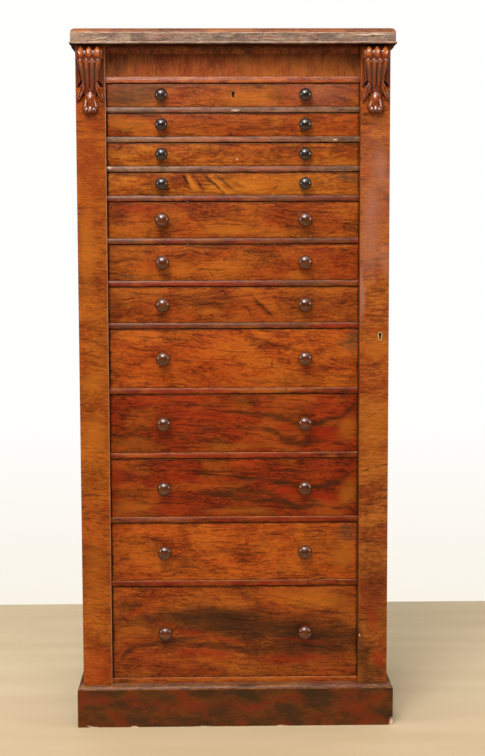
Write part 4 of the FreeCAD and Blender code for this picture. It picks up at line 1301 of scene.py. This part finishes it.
@dataclass
class Drawer:
    """One drawer: a veneered front, a plain box dovetailed to it, and two turned knobs, in metres.

    Only edges longer than short_edge are rounded, so the sockets stay sharp. The veneer covers what
    lies within skin of the face. Keyhole is half the width, half the height and the depth of the
    block round the keyhole, and thread is how thick the brass is that lines it. A board less than
    slim across is one of the box's sides. Profile turns the knob, in so many steps round: its radius
    and reach as shares of its diameter, from the front face outwards.
    """

    number: int
    stock: Stock
    veneer: Veneer
    spacing: float = 0.264
    rounding: float = 0.0003
    short_edge: float = 0.02
    skin: float = 0.003
    slim: float = 0.05
    steps: int = 40
    keyhole: Place = (0.012, 0.014, 0.02)
    thread: float = 0.0007
    thread_proud: float = 0.0002
    thread_depth: float = 0.002
    profile: tuple[tuple[float, float], ...] = (
        (0.27, 0.0), (0.27, 0.025), (0.21, 0.06), (0.175, 0.12), (0.175, 0.19), (0.22, 0.27), (0.33, 0.35),
        (0.43, 0.4), (0.48, 0.44), (0.5, 0.5), (0.49, 0.57), (0.46, 0.645), (0.4, 0.717), (0.32, 0.777),
        (0.22, 0.826), (0.11, 0.858), (0.0, 0.87),
    )

    @property
    def body(self) -> str:
        """The drawer's body, which names its nodes too."""
        return f"drawer_{self.number:02d}"

    def build_front(self) -> None:
        """Build the front with its veneer laid on the face alone, its upper arris pale with wear and painted
        highlight, and its edges near black as painted shade in the gaps.
        """
        node = f"{self.body}_front"
        front = copy_of(node, f"{node}_veneered")
        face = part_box(node)[0].y
        round_edges(front, lambda a, b: max(a.y, b.y) < face + 3 * self.rounding
                    and (a - b).length > self.short_edge, self.rounding)
        # Ends and edges: near black, painted shade in the gaps; upper arris: pale, wear and painted highlight.
        lay_on(front, self.stock.lining_across,
               (self.stock.edge, lambda middle, normal: max(abs(normal.x), abs(normal.z)) > SQUARE),
               (self.stock.worn_orange, lambda middle, normal: normal.z > LEANS and normal.y < -LEANS),
               (self.veneer.make(), lambda middle, normal: normal.y < -LEANS and middle.y < face + self.skin))
        smooth(front, 50)
        mount(front, self.body, "drawer_veneer", node)

    def build_thread(self) -> None:
        """Line the keyhole with a thin brass thread, let in flush with the face and painted near black as the
        keyhole's shade.
        """
        node = f"{self.body}_front"
        low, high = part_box(node)
        thread = copy_of(node, f"{self.body}_keyhole_thread")
        level = (low.z + high.z) / 2
        wide, tall, deep = self.keyhole
        edit(thread, "FACE", "DESELECT")
        leave()
        for polygon in thread.data.polygons:
            at = polygon.center
            polygon.select = not (abs(at.x) < wide and abs(at.z - level) < tall and at.y < low.y + deep
                                  and abs(polygon.normal.y) < LEANS)
        bpy.ops.object.mode_set(mode="EDIT")
        bpy.ops.mesh.delete(type="FACE")
        leave()
        for point in thread.data.vertices:
            front = point.co.y < low.y + self.thread_depth / 2
            point.co.y = low.y + (-self.thread_proud if front else self.thread_depth)
        thread.modifiers.new("wall", "SOLIDIFY").thickness = self.thread
        thread.modifiers["wall"].offset = -1.0
        bpy.ops.object.modifier_apply(modifier="wall")
        # painted near black, as the keyhole's shade
        thread.data.materials.append(self.stock.black_thread)
        smooth(thread, 40)
        mount(thread, self.body, "brass")

    def build_box(self) -> None:
        """Build the box with the grain of each of its boards the right way."""
        node = f"{self.body}_box"
        box = copy_of(node, f"{node}_boards")
        edit(box)
        bpy.ops.mesh.separate(type="LOOSE")
        leave()
        boards = list(bpy.context.selected_objects)
        for board in boards:
            xs = [point.co.x for point in board.data.vertices]
            lining = self.stock.lining_along if max(xs) - min(xs) < self.slim else self.stock.lining_across
            board.data.materials.append(lining)
        take(box, *[board for board in boards if board is not box])
        bpy.ops.object.join()
        mount(box, self.body, "drawer_lining", node)

    def build_knobs(self, material: Finish, slot: str) -> None:
        """Turn both knobs.

        Args:
            material: Their finish.
            slot: The record's material slot.
        """
        node = f"{self.body}_knobs"
        low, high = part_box(node)
        diameter = high.z - low.z
        middle = Vector((self.spacing / 2, high.y, (low.z + high.z) / 2))
        line = [middle + Vector((diameter * radius, -diameter * reach, 0)) for radius, reach in self.profile]
        knob = draw_line(f"{node}_turned", line)
        bpy.ops.mesh.spin(steps=self.steps, angle=math.tau, center=middle, axis=(0, 1, 0))
        bpy.ops.mesh.select_all(action="SELECT")
        bpy.ops.mesh.remove_doubles(threshold=SAME)
        bpy.ops.mesh.normals_make_consistent(inside=False)
        leave()
        other = link(knob.copy())
        other.data = knob.data.copy()
        other.location.x = -self.spacing
        settle(other, f"{node}_left")
        take(knob, other)
        bpy.ops.object.join()
        knob.data.materials.append(material)
        smooth(knob, 60)
        mount(knob, self.body, slot, node)


@dataclass
class Plinth:
    """The plinth with its rounded ledge and its chipped foot.

    The ledge's upper side, pale with wear and painted sheen, lies within tread of the top, its nose, with a
    pale line of wear and painted highlight, within nose of it, in metres, and slope is where the one ends
    and the other begins, as the share of a normal that looks up.
    """

    stock: Stock
    tread: float = 0.004
    nose: float = 0.012
    slope: float = 0.55
    veneer: Veneer = Veneer(
        "dark_walnut_plinth_veneer", Shade.PLINTH, seed=61.0, cloud=25.0, streak=7.0, stretch=3.0,
        vein_strength=0.3, wander=12.0, wander_length=40.0, contrast=0.75, tint=0.6,
        drift=(MOSS, RUST), lines=0.2,
        marks=(
            Mark(RUST, -149, 46, 18, 9, 0.5), Mark(RUST, 44, 38, 24, 7, 0.6, 20), Mark(RUST, 215, 60, 30, 7, 0.5),
            Mark(RUST, -253, 58, 20, 8, 0.5), Mark(RUST, 236, 36, 30, 16, 0.35), Mark(MOSS, 148, 50, 34, 18),
            Mark(MOSS, -34, 33, 26, 16), Mark(MOSS, 20, 55, 22, 14, 0.55), Mark(MOSS, -218, 46, 20, 12),
            Mark(MOSS, 100, 30, 16, 20, 0.5, 30), Mark(RUST, -100, 40, 40, 14, 0.4), Mark(CRACK, -158, 34, 1.2, 14),
            Mark(PALE, -267, 1, 9, 3, 0.9), Mark(PALE, -192, 1, 7, 2, 0.9), Mark(PALE, 294, 6, 4, 7, 0.9),
            Mark(PALE, 88, 0.5, 12, 1.4, 0.7), Mark(PALE, -60, 0.5, 16, 1.2)))
    ledge: Veneer = Veneer("worn_walnut_plinth_ledge", Shade.LEDGE, seed=66.0, cloud=24.0, streak=5.0,
                           stretch=6.0, vein_strength=0.2, roughness=0.4)

    def build(self) -> None:
        """Build the plinth's front and dress its frame."""
        front = copy_of("plinth_front", "plinth_front_veneered")
        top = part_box("plinth_front")[1].z
        # The ledge gets a pale finish, wear and painted sheen; its nose a pale line, wear and painted highlight.
        lay_on(front, self.veneer.make(),
               (self.ledge.make(), lambda middle, normal: normal.z > self.slope and middle.z > top - self.tread),
               (self.stock.worn_dark, lambda middle, normal: LEANS < normal.z <= self.slope
                and middle.z > top - self.nose))
        smooth(front)
        mount(front, "carcass", "plinth_veneer", "plinth_front")
        dress("plinth_frame", replace(self.veneer, name="dark_walnut_plinth_return_veneer", marks=()).make())


@dataclass
class DrawerBank:
    """All twelve drawers, each with its own leaf of veneer.

    Three marks, fitted to each front, are painted shadow lines where it meets the stiles and the rail
    above; the left one is darkest on the drawers that are pushed in furthest. Two deep drawers share
    their figured marks, the lower one's by pair_drop further down. The shallow drawers, so many from
    the top, have the dark knobs.
    """

    stock: Stock
    dark_knob: TurnedWood = TurnedWood("black_polished_knob", "#1a110c", "#32231a")
    brown_knob: TurnedWood = TurnedWood("brown_polished_knob", "#3c1a04", "#662e06")
    shallow: int = 4
    gap_right: Mark = Mark(DARK, 230.8, 0, 2.4, 0)
    gap_left: Mark = Mark(CRACK, -231.6, 0, 2.0, 0, 0.4)
    gap_above: Mark = Mark(CRACK, 0, -0.2, 420, 2.5, 0.7)
    pushed_in: tuple[int, ...] = (2, 4, 5, 6, 8, 11, 12)
    pair_drop: float = 123.0
    figured: tuple[Mark, ...] = (
        Mark(DARK, -196, 590, 22, 1.8, 0.6, -4), Mark(DARK, -176, 551, 28, 2, 0.6, -16),
        Mark(DARK, -40, 607, 90, 2.4, 0.5, -2), Mark(DARK, 10, 596, 60, 2.2, 0.5, -5), Mark(OLIVE, -45, 566, 26, 7),
        Mark(RED, -50, 590, 90, 8, 0.35, -2), Mark(OLIVE, 40, 592, 50, 5, 0.6, -6),
        Mark(OLIVE, 92, 584, 34, 7, 0.65, -14), Mark(OLIVE, 140, 576, 30, 5, 0.7, 2),
        Mark(OLIVE, 180, 583, 30, 5, 0.7, 14), Mark(OLIVE, 214, 600, 18, 4, 0.7, 36),
        Mark(OLIVE, 40, 566, 50, 4, 0.55, -8), Mark(OLIVE, 76, 556, 26, 5, 0.65, -26),
        Mark(OLIVE, 106, 540, 26, 6, 0.7, -14), Mark(OLIVE, 145, 540, 26, 5, 0.6, 6),
        Mark(CRACK, 196, 536, 18, 3.4, 0.75, -4), Mark(CRACK, 222, 532, 12, 1.4, 0.85, -38),
        Mark(RED, 168, 558, 30, 11, 0.6, -6), Mark(RED, 96, 567, 18, 9), Mark(GOLD, 214, 566, 16, 26, 0.4, -20),
        Mark(SMOKE, 130, 604, 60, 9, 0.35, 2), Mark(GOLD, 0, 532, 60, 7, 0.3),
        Mark(DARK, -70, 555, 50, 1.3, 0.55, -6), Mark(DARK, -60, 548, 60, 1.2, 0.5, -6),
        Mark(DARK, -50, 541, 60, 1.2, 0.5, -6), Mark(DARK, -30, 576, 70, 1.2, 0.5, -3),
        Mark(SMOKE, -190, 600, 40, 12, 0.35), Mark(GOLD, -190, 540, 40, 12, 0.25))

    def leaves(self) -> tuple[Veneer, ...]:
        """Cut the leaves of veneer.

        Returns:
            The twelve leaves, from the top drawer's down.
        """
        below = tuple(replace(mark, z=mark.z - self.pair_drop) for mark in self.figured)
        # The haze marks are partly dull polish and partly painted sheen; the purple one is painted sheen.
        cuts = (
            (Shade.DULL, -1, (
                Mark(HAZE, -190, 1182, 60, 30), Mark(DARK, 78, 1181, 18, 10, 0.5),
                Mark(DARK, 202, 1175, 25, 2, 0.6, -12), Mark(GOLD, 30, 1178, 70, 18, 0.25),
                Mark(PURPLE, 160, 1184, 60, 22, 0.25))),
            (Shade.BROWN, -1, (
                Mark(GOLD, -204, 1131, 35, 14, 0.4), Mark(SMOKE, 0, 1125, 90, 16, 0.2),
                Mark(SMOKE, 60, 1119, 35, 3, 0.35), Mark(SMOKE, -60, 1140, 60, 3, 0.25))),
            (Shade.GOLDEN, 0, (
                Mark(SMOKE, 44, 1074, 30, 7, 0.35), Mark(PALE, 7, 1066, 3.5, 0.8, 0.7, -50),
                Mark(SMOKE, 160, 1086, 50, 3), Mark(SMOKE, 190, 1079, 30, 3), Mark(GOLD, 200, 1060, 40, 8, 0.35))),
            (Shade.GOLDEN, 0, (
                Mark(GOLD, -75, 1020, 22, 6, 0.85, -60), Mark(DARK, -88, 1028, 14, 2.5, 0.85, -60),
                Mark(DARK, -64, 1022, 10, 2, 0.85, -60), Mark(DARK, -46, 1030, 12, 4, 0.85, -35),
                Mark(DARK, -34, 1018, 20, 3, 0.85, -40), Mark(DARK, -14, 1022, 22, 3, 0.85, -40),
                Mark(GOLD, -20, 1012, 20, 3, 0.85, -40), Mark(SMOKE, -30, 1003, 60, 3),
                Mark(DARK, 8, 1018, 12, 4, 0.6, -30), Mark(GOLD, 70, 1020, 80, 20, 0.45),
                Mark(DARK, 66, 1033, 7, 0.9, 0.8, -60), Mark(DARK, 80, 1026, 12, 0.9, 0.7, -8),
                Mark(DARK, 78, 1013, 7, 2, 0.5, 40), Mark(SMOKE, 160, 1020, 30, 12, 0.2),
                Mark(HAZE, 210, 1034, 28, 8, 0.6, -20))),
            (Shade.BROWN, -1, (
                Mark(SMOKE, -215, 965, 20, 18, 0.55), Mark(RED, -150, 975, 80, 6, 0.35),
                Mark(SMOKE, -62, 945, 20, 5, 0.4, -40), Mark(SMOKE, -35, 952, 14, 3, 0.4, -50),
                Mark(GOLD, -20, 935, 50, 8, 0.35), Mark(SMOKE, 150, 968, 70, 1.6),
                Mark(SMOKE, 90, 971, 30, 1.5, 0.5, -5), Mark(GOLD, 60, 932, 80, 8, 0.3),
                Mark(SMOKE, 205, 945, 14, 2, 0.4, 60))),
            (Shade.BROWN, 0, (
                Mark(SMOKE, -197, 880, 28, 4, 0.6, 14), Mark(DARK, -120, 888, 50, 2, 0.35, 6),
                Mark(RED, -150, 870, 30, 12, 0.3), Mark(CRACK, -62, 861, 10, 1, 0.7, 12),
                Mark(CRACK, -42, 855, 9, 1.2, 0.85, -48), Mark(CRACK, -15, 851, 18, 1, 0.5, 8),
                Mark(CRACK, 36, 850, 7, 1, 0.8, -40), Mark(GOLD, -110, 860, 60, 8, 0.35),
                Mark(GOLD, 130, 853, 30, 6, 0.3), Mark(SMOKE, 80, 880, 40, 10, 0.3, -25),
                Mark(RED, 170, 872, 60, 30, 0.25), Mark(HAZE, -205, 848, 24, 3))),
            (Shade.BROWN, 1, (
                Mark(CRACK, -195, 808, 30, 1.6, 0.7, 8), Mark(SMOKE, -100, 812, 60, 3, 0.45, -4),
                Mark(DARK, -50, 800, 32, 11, 0.6, -4), Mark(SMOKE, 0, 806, 40, 5, 0.5, -8),
                Mark(GOLD, -45, 783, 25, 5, 0.4), Mark(CRACK, -41, 776, 7, 1.2, 0.85, -45),
                Mark(CRACK, -8, 777, 22, 0.9, 0.6, 8), Mark(CRACK, 29, 783, 17, 1, 0.8, -58),
                Mark(SMOKE, -222, 785, 14, 35), Mark(DARK, 45, 800, 14, 3, 0.6, -45),
                Mark(DARK, 55, 790, 20, 4, 0.6, -50), Mark(DARK, 66, 780, 14, 3, 0.6, -45),
                Mark(SMOKE, 88, 790, 16, 4, 0.35, -50))),
            (Shade.ORANGE, -4, (
                Mark(DARK, -60, 742, 60, 3, 0.4, -8), Mark(SMOKE, 60, 728, 50, 2, 0.45, -14),
                Mark(SMOKE, 90, 718, 60, 2.2, 0.45, -12), Mark(SMOKE, 130, 708, 40, 2, 0.4, -8),
                Mark(SMOKE, 163, 708, 10, 8, 0.35), Mark(HAZE, 222, 728, 9, 24), Mark(HAZE, 205, 723, 12, 8, 0.4),
                Mark(CRACK, 71, 686, 9, 1.6, 0.9, 90), Mark(SMOKE, 110, 676, 24, 1.2, 0.6, -4),
                Mark(DARK, 18, 684, 24, 2.5, 0.45, -16), Mark(DARK, 20, 668, 10, 3, 0.4),
                Mark(SMOKE, 222, 655, 10, 12, 0.5), Mark(GOLD, 100, 655, 90, 10, 0.25))),
            (Shade.RED, -2, self.figured),
            (Shade.RED, -2, (
                *below, Mark(OLIVE, -20, 443, 30, 9, 0.65), Mark(OLIVE, 40, 430, 50, 7, 0.6, -10),
                Mark(OLIVE, 105, 416, 22, 6, 0.5, -5))),
            (Shade.ORANGE, 0, (
                Mark(HAZE, 212, 368, 20, 18, 0.5), Mark(SMOKE, 150, 376, 36, 1.5, 0.6, 4),
                Mark(SMOKE, 150, 368, 30, 1.2, 0.5, -4), Mark(SMOKE, 100, 344, 46, 1.3, 0.6, -4),
                Mark(DARK, -130, 352, 70, 1.5, 0.35, -10), Mark(GOLD, 205, 320, 25, 25, 0.5),
                Mark(DARK, 215, 300, 10, 2, 0.5, 60), Mark(DARK, -10, 300, 60, 2, 0.4, -8))),
            (Shade.BROWN, -2, (
                Mark(OLIVE, 40, 186, 175, 34, 0.75, -6), Mark(OLIVE, -90, 206, 120, 12, 0.75, 3),
                Mark(OLIVE, -20, 190, 80, 24, 0.7, -12), Mark(OLIVE, 150, 160, 90, 44, 0.8, -6),
                Mark(OLIVE, -205, 226, 26, 9, 0.6, 10), Mark(DARK, 20, 196, 60, 9, 0.5, -8),
                Mark(OLIVE, -175, 188, 30, 4, 0.7, -4), Mark(CRACK, -210, 203, 12, 2.2, 0.8, -45),
                Mark(OLIVE, -130, 158, 60, 5, 0.7, 8), Mark(OLIVE, -60, 151, 70, 6, 0.65, -6),
                Mark(OLIVE, 20, 140, 80, 9, 0.6, -8), Mark(OLIVE, -205, 137, 20, 5, 0.75, 45),
                Mark(RED, -85, 176, 24, 5, 0.55, -4), Mark(RED, -20, 160, 40, 4, 0.5, -10),
                Mark(RED, -190, 214, 22, 5, 0.45, 20), Mark(RED, -60, 134, 60, 7, 0.5, -4),
                Mark(RED, 110, 122, 80, 8, 0.45), Mark(RED, 120, 158, 60, 5, 0.35, -4),
                Mark(GOLD, -185, 180, 26, 14, 0.3), Mark(GOLD, 150, 240, 90, 18, 0.45, -8),
                Mark(SMOKE, 150, 216, 80, 3, 0.5, -10), Mark(SMOKE, 90, 240, 40, 1, 0.5, -14),
                Mark(SMOKE, 150, 225, 40, 1, 0.45, -14), Mark(CRACK, 123, 236, 8, 1.2, 0.7, 10),
                Mark(DARK, 60, 176, 120, 1.2, 0.5, -5), Mark(DARK, 80, 166, 120, 1.2, 0.5, -5),
                Mark(DARK, 90, 150, 110, 1.2, 0.45, -4), Mark(CRACK, -28, 235, 10, 1, 0.6, -35))),
        )
        # leaves 9 and 10 lay on each other when they were cut, so their grain is the same
        return tuple(Veneer(f"figured_walnut_leaf_{number:02d}", shade, slant=slant, marks=marks,
                            seed=70 + 3.1 * (9 if number == 10 else number), contrast=0.9 if number == 3 else 1.0)
                     for number, (shade, slant, marks) in enumerate(cuts, start=1))

    def build(self) -> None:
        """Build the drawers from the top one down."""
        dark, brown = self.dark_knob.make(), self.brown_knob.make()
        for number, leaf in enumerate(self.leaves(), start=1):
            low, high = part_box(f"drawer_{number:02d}_front")
            fit = {"z": (low.z + high.z) / 2 / MM, "width": (high.z - low.z) / MM}
            left = 0.85 if number in self.pushed_in else self.gap_left.strength
            # The end and top marks are painted shadow in the gaps round each front.
            ends = (replace(self.gap_right, **fit), replace(self.gap_left, strength=left, **fit),
                    replace(self.gap_above, z=high.z / MM + self.gap_above.z))
            drawer = Drawer(number, self.stock, replace(leaf, marks=(*leaf.marks, *ends)))
            drawer.build_front()
            drawer.build_box()
            if number > self.shallow:
                drawer.build_knobs(brown, "brown_knob")
            else:
                drawer.build_knobs(dark, "dark_knob")
            if number == 1:
                drawer.build_thread()


def main() -> None:
    """Build the chest from the top down, then the studio."""
    logging.basicConfig(level=logging.INFO, format="%(message)s")
    stock = Stock()
    TopBoard(stock).build()
    Case(stock).build()
    Rails(stock).build()
    corbel = Corbel()
    carved = corbel.finish.make()
    corbel.build(Hand.LEFT, "carcass", carved)
    corbel.build(Hand.RIGHT, "locking_stile", carved)
    LockingStile(stock).build()
    DrawerBank(stock).build()
    Plinth(stock).build()
    Studio().build()


if __name__ == "__main__":
    main()
